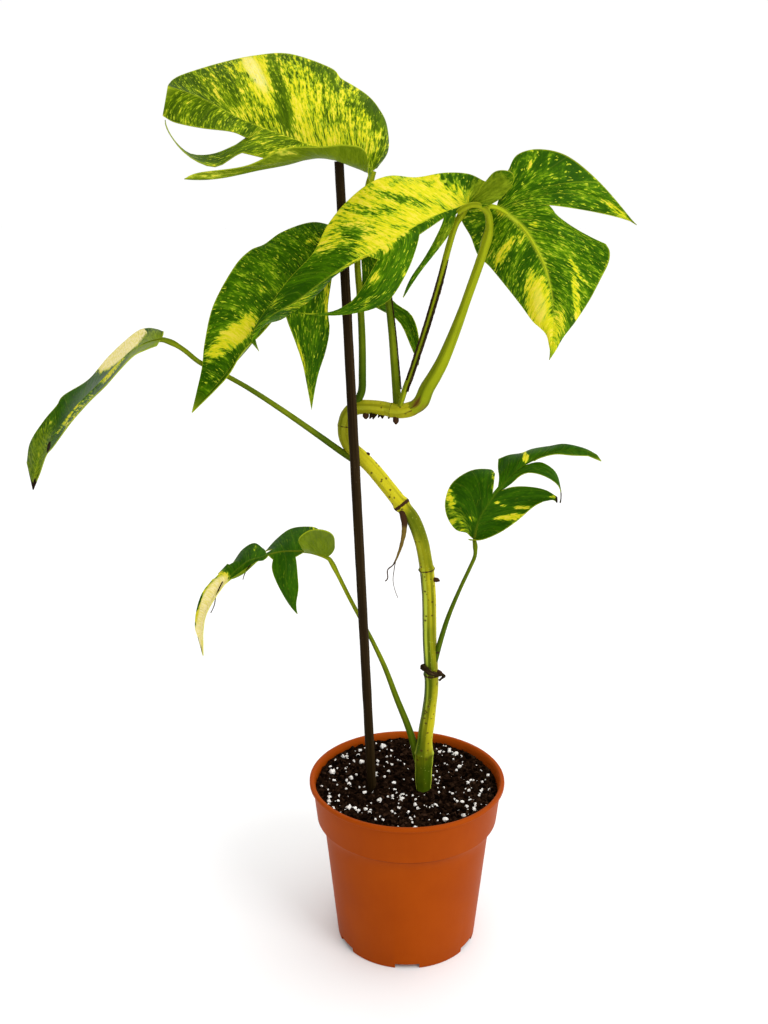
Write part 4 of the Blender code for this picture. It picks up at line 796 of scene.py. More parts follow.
def leaf_finish(name, dark, mid, light, yellow, flecked, busy):
    """Variegated blade. The painted numbers say how yellow, pale or dry each place is, and noise that runs
    along the side veins breaks that into streaks and dashes. flecked says how much the green's pale flecks
    show, and busy how much the green is mottled where nothing is painted yellow."""
    finish = Finish(name, IOR=1.45, Specular_IOR_Level=0.025)
    chart = finish.chart("streaks")
    veins = finish.chart("veins")
    gold = finish.painted("gold")
    pale = finish.painted("pale")
    dry = finish.painted("dry")
    broad = finish.noise(finish.stretched(chart, (0.075, 0.026, 1.0)), 1.0, 2.0, 0.5, 0.4)
    streak = finish.noise(finish.stretched(chart, (0.36, 0.070, 1.0)), 1.0, 3.0, 0.6, 0.3)
    dash = finish.noise(finish.stretched(chart, (0.95, 0.24, 1.0)), 1.0, 3.0, 0.6)
    fleck = finish.noise(finish.stretched(chart, (1.05, 0.24, 1.0), (31.0, 7.0, 0.0)), 1.0, 2.0, 0.55, 0.3)
    speckle = finish.noise(finish.stretched(chart, (1.2, 0.40, 1.0), (3.0, 51.0, 0.0)), 1.0, 2.0, 0.6)
    broad = broad.between(0.32, 0.68)
    streak = streak.between(0.32, 0.68)
    dash = dash.between(0.32, 0.68)
    full = gold - (gold - 0.58).clamped() * 0.58
    mottle = (broad - 0.5) * 0.26 + (streak - 0.5) * 0.52 + (dash - 0.5) * 0.50
    level = full + mottle * (gold.between(0.05, 0.40) * (1.0 - busy) + busy)
    lightness = broad * 0.35 + streak * 0.40 + dash * 0.25 + gold * 0.25
    green = finish.mix(lightness.between(0.20, 0.85), dark, mid)
    green = finish.mix(level.between(0.14, 0.50) * 0.9, green, light)
    flecks = (fleck + gold * 0.12).between(0.615, 0.685)
    green = finish.mix(flecks * flecked, green, (0.43, 0.52, 0.022))
    spots = (speckle - gold * 0.10).between(0.55, 0.63)
    tone = dash * 0.35 + streak * 0.40 + broad * 0.25
    warm = finish.mix((tone + gold * 0.22).between(0.42, 0.74), (0.330, 0.420, 0.005), yellow)
    warm = finish.mix((tone + gold * 0.12).between(0.64, 0.92) * 0.8, warm, (0.740, 0.600, 0.055))
    cream = finish.mix(dash.between(0.40, 0.65), (0.88, 0.76, 0.36), (0.80, 0.69, 0.20))
    warm = finish.mix(pale.between(0.3, 0.8), warm, cream)
    warm = finish.mix(spots * (1.0 - pale.clamped()) * 0.75, warm, (0.16, 0.34, 0.005))
    clear = pale.between(0.2, 0.7)
    colour = finish.mix((level + clear * 0.3).between(0.43, 0.57), green, warm)
    clouded = (streak * 0.6 + dash * 0.4).between(0.2, 0.9)
    olive = finish.mix(clouded, (0.120, 0.180, 0.003), (0.200, 0.275, 0.008))
    colour = finish.mix((finish.painted("olive") + (dash - 0.5) * 0.3).between(0.25, 0.75), colour, olive)
    nerve = finish.part_of(veins, "X").distance().between(0.045, 0.0)
    colour = finish.mix(nerve * (finish.painted("nerve") * 0.7 + 0.07).clamped(), colour, (0.40, 0.50, 0.020))
    colour = finish.mix(finish.painted("spine").clamped(), colour, (0.43, 0.50, 0.022))
    colour = finish.mix(finish.painted("rim").between(0.5, 0.95) * 0.50, colour, (0.40, 0.46, 0.015))
    burnt = (dry + (dash - 0.5) * 0.6).between(0.42, 0.60)
    colour = finish.mix(burnt, colour, (0.016, 0.008, 0.004))
    bulge = finish.noise(finish.stretched(chart, (0.16, 0.05, 1.0)), 1.0, 2.0)
    skin = finish.noise(finish.stretched(chart, (2.2, 1.1, 1.0)), 1.0, 2.0)
    height = bulge * 0.9 - nerve * 0.35 + streak * 0.22 + skin * 0.06
    roughness = streak * 0.08 + burnt * 0.4 + 0.34
    return finish.set(colour, roughness, height, 0.0012, 0.45)


# ---- Shaping ----------------------------------------------------------------------------------------
def plant_point(point):
    """A point of the plant, from millimetres over the soil to metres over the ground."""
    x, y, height = point
    return Vector((x * MM, y * MM, SOIL_LEVEL + height * MM))


def curve_points(points, shares):
    """Points at the given shares of a smooth curve through points."""
    if len(points) == 2:
        return [points[0].lerp(points[1], share) for share in shares]
    steps = [0.0]
    for before, after in zip(points, points[1:]):
        steps.append(steps[-1] + max((after - before).length, 1e-7))
    places = [step / steps[-1] for step in steps]
    last = len(points) - 1
    slopes = [None] * len(points)
    for i in range(1, last):
        slopes[i] = (points[i + 1] - points[i - 1]) / (places[i + 1] - places[i - 1])
    slopes[0] = 2 * (points[1] - points[0]) / places[1] - slopes[1]
    slopes[last] = 2 * (points[last] - points[last - 1]) / (1 - places[last - 1]) - slopes[last - 1]
    found = []
    i = 0
    for share in shares:
        while i < last - 1 and places[i + 1] <= share:
            i += 1
        gap = places[i + 1] - places[i]
        s = (share - places[i]) / gap
        found.append(
            (1 + 2 * s) * (1 - s) ** 2 * points[i]
            + s * (1 - s) ** 2 * gap * slopes[i]
            + s * s * (3 - 2 * s) * points[i + 1]
            + s * s * (s - 1) * gap * slopes[i + 1]
        )
    return found


def even_shares(count):
    return [i / count for i in range(count + 1)]


def blend(low, high, value):
    """0 under low, 1 over high and smooth between them."""
    share = min(1.0, max(0.0, (value - low) / (high - low)))
    return share * share * (3 - 2 * share)


def uneven(angle, share, along, around=1.0):
    """Smooth noise over a tube's skin, from -1 to 1. along and around say how fast it changes."""
    return noise.noise(Vector((around * math.cos(angle), around * math.sin(angle), share * along)))


def tapering(first, last, power=1.0):
    """A tube's radius for wrapped(), from first to last in millimetres."""
    return lambda share, angle: (first + (last - first) * share ** power) * MM


def run_length(points):
    return sum((b - a).length for a, b in zip(points, points[1:]))


def search_tree(places):
    """A tree that finds the nearest of places."""
    tree = kdtree.KDTree(len(places))
    for index, place in enumerate(places):
        tree.insert(place, index)
    tree.balance()
    return tree


def deselect_all():
    bpy.ops.object.select_all(action="DESELECT")
    bpy.context.view_layer.objects.active = None


def finished(name, piece, finishes, nodes, smooth=40.0):
    """Names a piece, gives it its finish and lets it stand for its solids."""
    piece.name = name
    piece.data.name = name
    for finish in finishes:
        piece.data.materials.append(finish)
    deselect_all()
    piece.select_set(True)
    bpy.context.view_layer.objects.active = piece
    bpy.ops.object.shade_smooth_by_angle(angle=math.radians(smooth))
    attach(piece, "root")
    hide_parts(*nodes)
    return piece


def apply_modifier(piece, modifier):
    deselect_all()
    piece.select_set(True)
    bpy.context.view_layer.objects.active = piece
    bpy.ops.object.modifier_apply(modifier=modifier.name)


def turned(outline, steps):
    """A closed outline of (radius, height) points, spun round Z into a solid."""
    deselect_all()
    bpy.ops.mesh.primitive_circle_add(vertices=len(outline), radius=1.0)
    piece = bpy.context.object
    for vert, (radius, height) in zip(piece.data.vertices, outline):
        vert.co = (radius, 0.0, height)
    bpy.ops.object.mode_set(mode="EDIT")
    bpy.ops.mesh.select_all(action="SELECT")
    bpy.ops.mesh.spin(steps=steps, angle=2 * math.pi, center=(0, 0, 0), axis=(0, 0, 1))
    bpy.ops.mesh.select_all(action="SELECT")
    bpy.ops.mesh.remove_doubles(threshold=1e-6)
    bpy.ops.mesh.dissolve_degenerate(threshold=1e-7)
    bpy.ops.mesh.select_all(action="SELECT")
    bpy.ops.mesh.normals_make_consistent(inside=False)
    bpy.ops.object.mode_set(mode="OBJECT")
    return piece


def rounded(corners, steps=4):
    """An outline whose (radius, height, fillet) corners are rounded by their fillets."""
    points = []
    count = len(corners)
    for i, (radius, height, fillet) in enumerate(corners):
        corner = Vector((radius, height))
        if fillet == 0.0:
            points.append(tuple(corner))
            continue
        before = Vector(corners[i - 1][:2]) - corner
        after = Vector(corners[(i + 1) % count][:2]) - corner
        start = corner + before.normalized() * min(fillet, before.length * 0.49)
        end = corner + after.normalized() * min(fillet, after.length * 0.49)
        for k in range(steps + 1):
            s = k / steps
            points.append(tuple((1 - s) ** 2 * start + 2 * s * (1 - s) * corner + s * s * end))
    return points


def wrapped(route, radius_at, around, along):
    """A grid rolled into a tube along a route. radius_at(share, angle) gives its radius in metres.

    The UV map "wrap" holds the turn round the tube, from 0 to 1, and the metres along it."""
    deselect_all()
    bpy.ops.mesh.primitive_grid_add(x_subdivisions=around, y_subdivisions=along, size=1.0)
    piece = bpy.context.object
    mesh = piece.data
    shares = [0.0] + even_shares(along - 2) + [1.0]
    spine = curve_points(route, shares)
    length = run_length(spine)
    side = Vector((0, -1, 0))
    rings = []
    for i, point in enumerate(spine):
        way = (spine[min(i + 2, along)] - spine[max(i - 2, 0)]).normalized()
        side = (side - way * side.dot(way)).normalized()
        rings.append((point, side, way.cross(side)))
    for index, vert in enumerate(mesh.vertices):
        i, k = divmod(index, around + 1)
        point, front, left = rings[i]
        angle = 2 * math.pi * (k % around) / around
        radius = radius_at(shares[i], angle)
        if i in (0, along):
            radius = 0.0
        vert.co = point + (front * math.cos(angle) + left * math.sin(angle)) * radius
    chart = mesh.uv_layers.active
    chart.name = "wrap"
    for loop in chart.data:
        loop.uv = (loop.uv[0], loop.uv[1] * length)
    bpy.ops.object.mode_set(mode="EDIT")
    bpy.ops.mesh.select_all(action="SELECT")
    bpy.ops.mesh.remove_doubles(threshold=1e-6)
    bpy.ops.mesh.select_all(action="SELECT")
    bpy.ops.mesh.normals_make_consistent(inside=False)
    bpy.ops.object.mode_set(mode="OBJECT")
    return piece


def paint(piece, name, amount_at):
    """Holds a number at each of the piece's points, for its finish to read."""
    layer = piece.data.attributes.new(name, "FLOAT", "POINT")
    layer.data.foreach_set("value", [amount_at(vert.co) for vert in piece.data.vertices])


def paint_wood(piece, **amounts):
    """Paints a piece for green_wood_finish. An amount is one number or a function of the place."""
    for name, amount in amounts.items():
        paint(piece, name, amount if callable(amount) else lambda co: amount)


def scattered(name, shapes, places, seed):
    """Copies of small shapes at (place, size, turn) as one mesh, each copy with its own shade."""
    own = random.Random(seed)
    points = []
    faces = []
    shades = []
    for place, size, turn in places:
        shape_points, shape_faces = own.choice(shapes)
        first = len(points)
        for x, y, z in shape_points:
            points.append(place + turn @ Vector((x * size[0], y * size[1], z * size[2])))
        faces += [tuple(first + k for k in face) for face in shape_faces]
        shades += [own.random()] * len(shape_points)
    mesh = bpy.data.meshes.new(name)
    mesh.from_pydata(points, [], faces)
    mesh.attributes.new("own", "FLOAT", "POINT").data.foreach_set("value", shades)
    piece = bpy.data.objects.new(name, mesh)
    bpy.context.scene.collection.objects.link(piece)
    return piece


def lumps(count, detail, roughness, seed):
    """A few irregular lumps of unit radius, as (points, faces)."""
    own = random.Random(seed)
    shapes = []
    for _ in range(count):
        bm = bmesh.new()
        bmesh.ops.create_icosphere(bm, subdivisions=detail, radius=1.0)
        shift = Vector((own.uniform(-9, 9), own.uniform(-9, 9), own.uniform(-9, 9)))
        for vert in bm.verts:
            broad = noise.noise(vert.co * 1.3 + shift)
            fine = noise.noise(vert.co * 3.1 + shift)
            vert.co *= 1.0 + roughness * broad + 0.5 * roughness * fine
        shapes.append((
            [vert.co.copy() for vert in bm.verts],
            [tuple(vert.index for vert in face.verts) for face in bm.faces],
        ))
        bm.free()
    return shapes


def any_turn(own):
    axis = Vector((own.gauss(0, 1), own.gauss(0, 1), own.gauss(0, 1))).normalized()
    return Matrix.Rotation(own.uniform(0, 2 * math.pi), 3, axis)


# ---- The pot and the soil ---------------------------------------------------------------------------
def make_pot():
    inner = LIP_RADIUS - 2.2 * MM - POT_WALL
    outline = rounded([
        (0.0, FLOOR_TOP, 0.0),
        (BASE_RADIUS - 1.2 * MM, FLOOR_TOP, 3.0 * MM),
        (BODY_TOP_RADIUS - POT_WALL, SHOULDER_BOTTOM, 2.0 * MM),
        (BAND_BOTTOM_RADIUS - POT_WALL, BAND_BOTTOM, 2.0 * MM),
        (inner, POT_HEIGHT - 2.2 * MM, 1.2 * MM),
        (inner + 1.2 * MM, POT_HEIGHT, 0.7 * MM),
        (LIP_RADIUS, POT_HEIGHT, 1.1 * MM),
        (LIP_RADIUS, POT_HEIGHT - 3.0 * MM, 1.0 * MM),
        (BAND_TOP_RADIUS, POT_HEIGHT - 3.3 * MM, 0.5 * MM),
        (BAND_BOTTOM_RADIUS, BAND_BOTTOM, 0.6 * MM),
        (BAND_BOTTOM_RADIUS - 1.9 * MM, BAND_BOTTOM - 0.5 * MM, 0.5 * MM),
        (BAND_BOTTOM_RADIUS - 3.9 * MM, BAND_BOTTOM - 4.4 * MM, 2.5 * MM),
        (BODY_TOP_RADIUS, SHOULDER_BOTTOM, 4.6 * MM),
        (BASE_RADIUS, 0.0, 0.8 * MM),
        (BASE_RADIUS - POT_WALL, 0.0, 0.4 * MM),
        (BASE_RADIUS - POT_WALL, FOOT_HEIGHT, 0.8 * MM),
        (10.0 * MM, FOOT_HEIGHT, 0.5 * MM),
        (10.0 * MM, 0.0, 0.5 * MM),
        (0.0, 0.0, 0.0),
    ])
    pot = turned(outline, 120)
    deselect_all()
    for i in range(6):
        bearing = math.radians(-90 + 60 * i)
        bpy.ops.mesh.primitive_cube_add(
            size=1.0,
            location=(BASE_RADIUS * math.cos(bearing), BASE_RADIUS * math.sin(bearing), 0.0),
            rotation=(0, 0, bearing),
            scale=(7.0 * MM, 16.0 * MM, 7.0 * MM),
        )
        cut_away(pot, bpy.context.object)
        at_drain = bearing + math.radians(29.0)
        bpy.ops.mesh.primitive_cylinder_add(
            vertices=24, radius=4.0 * MM, depth=6.0 * MM,
            location=(27.0 * MM * math.cos(at_drain), 27.0 * MM * math.sin(at_drain), 5.0 * MM),
        )
        cut_away(pot, bpy.context.object)
    return finished("nursery_pot", pot, [pot_finish()], ["pot"], 50.0)


def cut_away(piece, cutter):
    hole = piece.modifiers.new("hole", "BOOLEAN")
    hole.operation = "DIFFERENCE"
    hole.solver = "EXACT"
    hole.object = cutter
    apply_modifier(piece, hole)
    bpy.data.objects.remove(cutter, do_unlink=True)


def inner_radius(height):
    """The pot's inside radius between the shoulder and the lip."""
    share = (height - BAND_BOTTOM) / (POT_HEIGHT - BAND_BOTTOM)
    return BAND_BOTTOM_RADIUS + share * (BAND_TOP_RADIUS - BAND_BOTTOM_RADIUS) - POT_WALL


def soil_height(x, y):
    """The soil's surface: cloddy, banked up against the wall behind and to the left, low at the stake."""
    out = math.hypot(x, y) / inner_radius(SOIL_LEVEL)
    bank = blend(0.35, 1.0, out) * (0.5 + 0.5 * (0.9 * y - 0.45 * x) / max(math.hypot(x, y), 1 * MM))
    height = SOIL_LEVEL + (1.6 * (1 - out * out) - 0.6) * MM
    height += 3.6 * MM * bank
    height += (1.1 + 0.8 * bank) * MM * noise.noise(Vector((x, y, 0.3)) / (9 * MM))
    height += (0.8 + 0.6 * bank) * MM * noise.noise(Vector((x, y, 1.7)) / (3.5 * MM))
    height += 0.9 * MM * blend(0.88, 1.0, out)
    height -= 4.5 * MM * (1.0 - blend(2.5 * MM, 8.5 * MM, math.dist((x, y), SOIL_DIP)))
    return height


def make_soil():
    edge = inner_radius(SOIL_LEVEL) - 0.25 * MM
    bottom = FLOOR_TOP + 0.4 * MM
    outline = [(edge * k / 60, SOIL_LEVEL) for k in range(61)]
    outline += [
        (BODY_TOP_RADIUS - POT_WALL - 0.8 * MM, SHOULDER_BOTTOM),
        (BASE_RADIUS - 2.6 * MM, bottom),
        (0.0, bottom),
    ]
    soil = turned(outline, 160)
    for vert in soil.data.vertices:
        if vert.co.z > SOIL_LEVEL - 0.1 * MM:
            vert.co.z = soil_height(vert.co.x, vert.co.y)
    return finished("soil_bed", soil, [soil_finish()], ["soil"], 80.0)


def soil_spot(own, reach=0.985):
    """A random place on the soil, clear of the stem and the stake."""
    while True:
        out = inner_radius(SOIL_LEVEL) * reach * math.sqrt(own.random())
        angle = own.uniform(0, 2 * math.pi)
        x, y = out * math.cos(angle), out * math.sin(angle)
        if math.dist((x, y), STEM_FOOT) > 7 * MM and math.dist((x, y), STAKE_FOOT) > 4.5 * MM:
            return x, y, out


def make_crumbs():
    own = random.Random(11)
    places = []
    for _ in range(3200):
        x, y, out = soil_spot(own)
        size = own.triangular(0.35, 1.9, 0.6) * MM
        limit = inner_radius(SOIL_LEVEL) - 0.4 * MM - size
        if out > limit:
            x, y = x * limit / out, y * limit / out
        lift = size * own.uniform(-0.2, 0.45)
        spread = (size * own.uniform(0.8, 1.5), size * own.uniform(0.7, 1.1), size * own.uniform(0.5, 0.9))
        places.append((Vector((x, y, soil_height(x, y) + lift)), spread, any_turn(own)))
    crumbs = scattered("soil_crumbs", lumps(9, 1, 0.5, 5), places, 12)
    finished("soil_crumbs", crumbs, [crumb_finish()], [], 25.0)


def make_perlite():
    """Each solid granule in finer form, and small ones strewn between them."""
    finish = perlite_finish()
    own = random.Random(21)
    shapes = lumps(7, 2, 0.55, 8)
    nodes = sorted(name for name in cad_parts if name.startswith("perlite"))
    places = []
    for node in nodes:
        low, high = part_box(node)
        middle = (low + high) / 2
        size = (high.x - low.x) * 0.58
        middle.z = soil_height(middle.x, middle.y) + size * 0.35
        places.append((middle, (size, size * 0.95, size * 0.85), any_turn(own)))
    for _ in range(300):
        x, y, out = soil_spot(own, 0.96)
        size = own.triangular(0.28, 1.60, 0.42) * MM
        lift = size * own.uniform(-0.1, 0.5)
        spread = (size * own.uniform(0.9, 1.25), size, size * own.uniform(0.7, 0.95))
        places.append((Vector((x, y, soil_height(x, y) + lift)), spread, any_turn(own)))
    granules = scattered("perlite_granules", shapes, places, 22)
    finished("perlite_granules", granules, [finish], nodes, 30.0)


# ---- The stake, the stem and the leaf stalks --------------------------------------------------------
def make_stake():
    top = plant_point((-41, 0, 402.5))
    foot = Vector((*STAKE_FOOT, SOIL_LEVEL))
    bottom = foot - (top - foot).normalized() * 60 * MM

    def radius_at(share, angle):
        return STAKE_RADIUS * (0.97 + 0.05 * uneven(angle, share, 30) - 0.10 * blend(0.55, 1.0, share))

    stake = wrapped([bottom, bottom.lerp(top, 0.5), top], radius_at, 24, 160)
    return finished("cane_stake", stake, [stake_finish()], ["stake"], 50.0)


# Rings: (where on the stem, in millimetres, how far it stands out, how wide it is, how brown)
STEM_RINGS = [
    ((-4, 4, 196), 1.0, 1.2, 1.0), ((14, -2, 155), 0.8, 0.5, 0.80), ((-38.8, 13, 245), 0.2, 0.5, 0.85),
    ((15.2, -3, 84), 0.7, 0.9, 0.75), ((11.2, -4, 27), 0.6, 0.5, 0.60), ((-10, 6.5, 256), 0.3, 0.4, 0.60),
    ((4.5, 1, 259.5), 0.3, 0.4, 0.70),
]
# Corky scars: (where, in millimetres, how far it reaches, how brown)
STEM_SCARS = [
    ((18.5, -6, 37), 1.3, 1.0), ((-5, -2, 190), 4.0, 0.95), ((19.0, -5, 146), 1.6, 0.5),
    ((-31, 8, 224), 1.8, 0.6), ((19.5, -5, 78), 3.0, 0.55), ((4.5, -3, 258), 2.0, 0.5),
    ((-25, 7, 253), 2.4, 0.55),
]
# Papery tan skin: (where, in millimetres, how far it reaches, how tan)
STEM_SKINS = [
    ((5.5, 0, 260), 8.0, 0.80), ((-2, 2, 192), 5.0, 0.5), ((19, -4, 92), 6.0, 0.45),
    ((19, -4, 68), 8.0, 0.35),
]
# (where, how yellow the stem is there, how deep its grooves are, how much thicker it is)
STEM_TONES = [
    ((11, -4, 0), 0.20, 1.0, 0.12), ((12, -4, 12), 0.24, 1.0, 0.24), ((13, -4, 24), 0.26, 0.9, 0.36),
    ((14, -3, 40), 0.42, 0.7, 0.08), ((15, -3, 62), 0.44, 0.7, 0.0), ((14, -2, 84), 0.36, 0.6, 0.0),
    ((13.5, -1, 105), 0.42, 1.0, 0.0), ((13, -0.5, 130), 0.46, 1.0, 0.0), ((12.5, 0, 150), 0.52, 0.8, 0.0),
    ((10, 0, 163), 0.46, 0.2, -0.03), ((3, 2, 187), 0.26, 0.1, -0.03), ((-9, 6, 203), 0.95, 0.05, 0.0),
    ((-25, 11, 221), 0.85, 0.1, 0.0), ((-38, 13, 238), 0.50, 0.1, 0.0), ((-36, 13, 253), 0.50, 0.2, 0.0),
    ((-16, 8, 257), 0.52, 0.15, -0.05), ((0, 3, 257), 0.56, 0.2, 0.02), ((9, 0, 266), 0.60, 0.2, -0.10),
]


def tone_at(co, tones, index):
    """A number between those of the nearest places in tones."""
    total = weight = 0.0
    for place, *values in tones:
        near = 1.0 / ((co - plant_point(place)).length / MM + 1.0) ** 3
        total += near * values[index]
        weight += near
    return total / weight


def spot_amount(co, spots):
    """The most that any spot gives here; a spot is (middle in millimetres, reach, amount)."""
    return max(
        amount * math.exp(-((co - plant_point(middle)).length / (reach * MM)) ** 2)
        for middle, reach, amount in spots
    )


def make_stem():
    route = [plant_point(point) for point in STEM_PATH]
    route = [route[0] - Vector((0, 0, 25 * MM))] + route
    rows = 420
    spine = curve_points(route, even_shares(rows))
    rings = []
    for place, swell, wide, brown in STEM_RINGS:
        spot = plant_point(place)
        index = min(range(1, rows), key=lambda i: (spine[i] - spot).length)
        way = (spine[index + 1] - spine[index - 1]).normalized()
        rings.append((spine[index], way, swell * MM, wide * MM, brown))
    depths = [tone_at(co, STEM_TONES, 1) for co in spine]
    girths = [0.97 + tone_at(co, STEM_TONES, 2) for co in spine]

    def swell_at(co):
        total = 0.0
        for spot, way, swell, wide, _ in rings:
            if (co - spot).length < 9 * MM:
                gap = (co - spot).dot(way)
                total += swell * math.exp(-(gap / (1.6 * wide + 0.4 * MM)) ** 2)
        return total

    swells = [swell_at(co) for co in spine]

    def radius_at(share, angle):
        index = round(share * rows)
        wobble = noise.noise(Vector((share * 25, math.cos(angle), math.sin(angle))))
        radius = STEM_RADIUS * (girths[index] + 0.04 * wobble)
        radius *= 1.0 - 0.35 * blend(0.965, 1.0, share)
        radius += swells[index] * (1.0 + 0.6 * uneven(angle, share, 90, 3))
        for turn in (-1.3, -0.45, 0.35, 1.2, 2.4, 3.6):
            radius -= 0.50 * MM * depths[index] * blend(0.90, 1.0, math.cos(angle - turn))
        return radius

    def ring_amount(co):
        total = 0.0
        for spot, way, _, wide, brown in rings:
            if (co - spot).length < 9 * MM:
                total = max(total, brown * math.exp(-((co - spot).dot(way) / wide) ** 2))
        return total

    stem = wrapped(route, radius_at, 48, rows)
    tree = search_tree(spine)

    def side_of(co):
        """-1 on the left of the lower stem, 1 on its right, and 0 higher up; it places painted light on the
        lower stem.
        """
        low_part = blend(SOIL_LEVEL + 157 * MM, SOIL_LEVEL + 152 * MM, co.z)
        low_part *= blend(SOIL_LEVEL + 26 * MM, SOIL_LEVEL + 34 * MM, co.z)
        return low_part * (co.x - tree.find(co)[0].x) / STEM_RADIUS

    paint_wood(
        stem,
        # Painted light from the right: the lower stem is lighter and yellower on its right side and darker on
        # its left, with fainter grooves on the right.
        sun=lambda co: tone_at(co, STEM_TONES, 0) + 0.32 * side_of(co),
        grooved=lambda co: tone_at(co, STEM_TONES, 1) * (1.0 - 0.7 * max(0.0, side_of(co))),
        tan=lambda co: spot_amount(co, STEM_SKINS),
        scar=lambda co: max(ring_amount(co), spot_amount(co, STEM_SCARS)),
    )
    finish = green_wood_finish(
        "yellow-green stem", (0.045, 0.085, 0.0015), (0.50, 0.445, 0.012), (0.045, 0.070, 0.0015), 13.0, 1.0
    )
    return finished("pothos_stem", stem, [finish], ["stem"], 60.0)


# name: (route, its continuation as a midrib, radius at the stem, at the leaf and at the end,
# how yellow at the stem, at the leaf and at the end)
STALKS = {
    "petiole_top": (TOP_PETIOLE, [], 2.5, 1.9, 1.9, 0.10, 0.80, 0.80),
    "petiole_dark": (DARK_PETIOLE, [], 2.7, 1.9, 1.9, 0.40, 0.35, 0.35),
    "petiole_streaked": (STREAKED_PETIOLE, [], 1.8, 1.9, 1.9, 0.60, 0.75, 0.75),
    "petiole_right": (RIGHT_STALK, RIGHT_CROOK, 5.1, 2.7, 1.5, 0.75, 0.80, 0.80),
    "petiole_far": (FAR_PETIOLE, FAR_LEAF["midrib"][1:3], 2.2, 1.5, 0.30, 0.30, 0.50, 0.20),
    "petiole_low_left": (LOW_LEFT_PETIOLE, LOW_LEFT_LEAF["midrib"][1:8], 2.7, 1.35, 0.25, 0.20, 0.60, 0.30),
    "petiole_low_right": (LOW_RIGHT_PETIOLE, LOW_RIGHT_LEAF["midrib"][1:3], 2.0, 1.2, 0.20, 0.25, 0.35, 0.10),
}


# Papery skin and brown edges at the stalks' feet: (where, in millimetres, how far it reaches, how much)
STALK_SKINS = [
    ((6, 0, 261.5), 7.0, 0.75), ((12, -2, 273), 5.0, 0.35), ((18, -5, 96), 5.0, 0.4),
    ((-36, 10, 226), 4.0, 0.3),
]
STALK_SCARS = [
    ((19.5, -6, 100), 1.6, 0.8), ((17, -5, 97), 1.2, 0.6), ((41.0, -8, 176), 1.4, 0.7),
    ((7, 0, 265), 1.6, 0.5),
]


def stalk_radius(node, share):
    """A stalk's radius in millimetres, at a share of its length from the stem to the leaf."""
    at_stem, at_leaf = STALKS[node][2:4]
    return at_stem + (at_leaf - at_stem) * min(1.0, 1.6 * share)


def make_stalks():
    finish = green_wood_finish(
        "green leaf stalk", (0.045, 0.085, 0.002), (0.27, 0.31, 0.006), (0.030, 0.055, 0.0015), 9.0, 0.12
    )
    for node, (route, midrib, _, at_leaf, at_end, stem_sun, leaf_sun, end_sun) in STALKS.items():
        stalk_points = [plant_point(point) for point in route]
        points = stalk_points + [plant_point(point) for point in midrib]
        leaf_share = run_length(stalk_points) / run_length(points)

        def radius_at(share, angle):
            if share > leaf_share:
                return MM * (at_leaf + (at_end - at_leaf) * ((share - leaf_share) / (1 - leaf_share)) ** 0.55)
            share /= leaf_share
            radius = stalk_radius(node, share) * (0.84 + 0.16 * blend(0.0, 0.09, share))
            radius += 0.35 * math.exp(-((share - 0.955) / 0.03) ** 2)
            groove = blend(0.86, 1.0, math.cos(angle - 0.5))
            radius -= 0.40 * groove * blend(0.03, 0.15, share) * blend(1.0, 0.9, share)
            return radius * MM

        rows = 200
        stalk = wrapped(points, radius_at, 28, rows)
        tree = search_tree(curve_points(points, even_shares(rows)))

        def sun_at(co):
            share = tree.find(co)[1] / rows
            if share > leaf_share:
                return leaf_sun + (end_sun - leaf_sun) * (share - leaf_share) / (1 - leaf_share)
            return stem_sun + (leaf_sun - stem_sun) * share / leaf_share

        paint_wood(
            stalk,
            sun=sun_at,
            grooved=0.35,
            tan=lambda co: spot_amount(co, STALK_SKINS),
            scar=lambda co: spot_amount(co, STALK_SCARS),
        )
        finished(node.replace("petiole", "stalk"), stalk, [finish], [node], 60.0)


def make_pale_midrib():
    """The thick pale rib that stands proud of the right leaf."""
    finish = green_wood_finish(
        "pale midrib", (0.20, 0.28, 0.004), (0.36, 0.42, 0.010), (0.14, 0.20, 0.003), 9.0, 0.0
    )
    rib = wrapped([plant_point(point) for point in PALE_MIDRIB], tapering(1.7, 0.3, 0.6), 20, 120)
    paint_wood(rib, sun=0.9, grooved=0.3, tan=0.0, scar=0.0)
    finished("pale_midrib", rib, [finish], [], 60.0)


def root_brownness(co):
    """How corky the aerial roots are: most at the node they leave, and again at their tips."""
    height = (co.z - SOIL_LEVEL) / MM
    return 0.2 + 0.65 * blend(166, 156, height) + 0.6 * blend(180, 189, height)


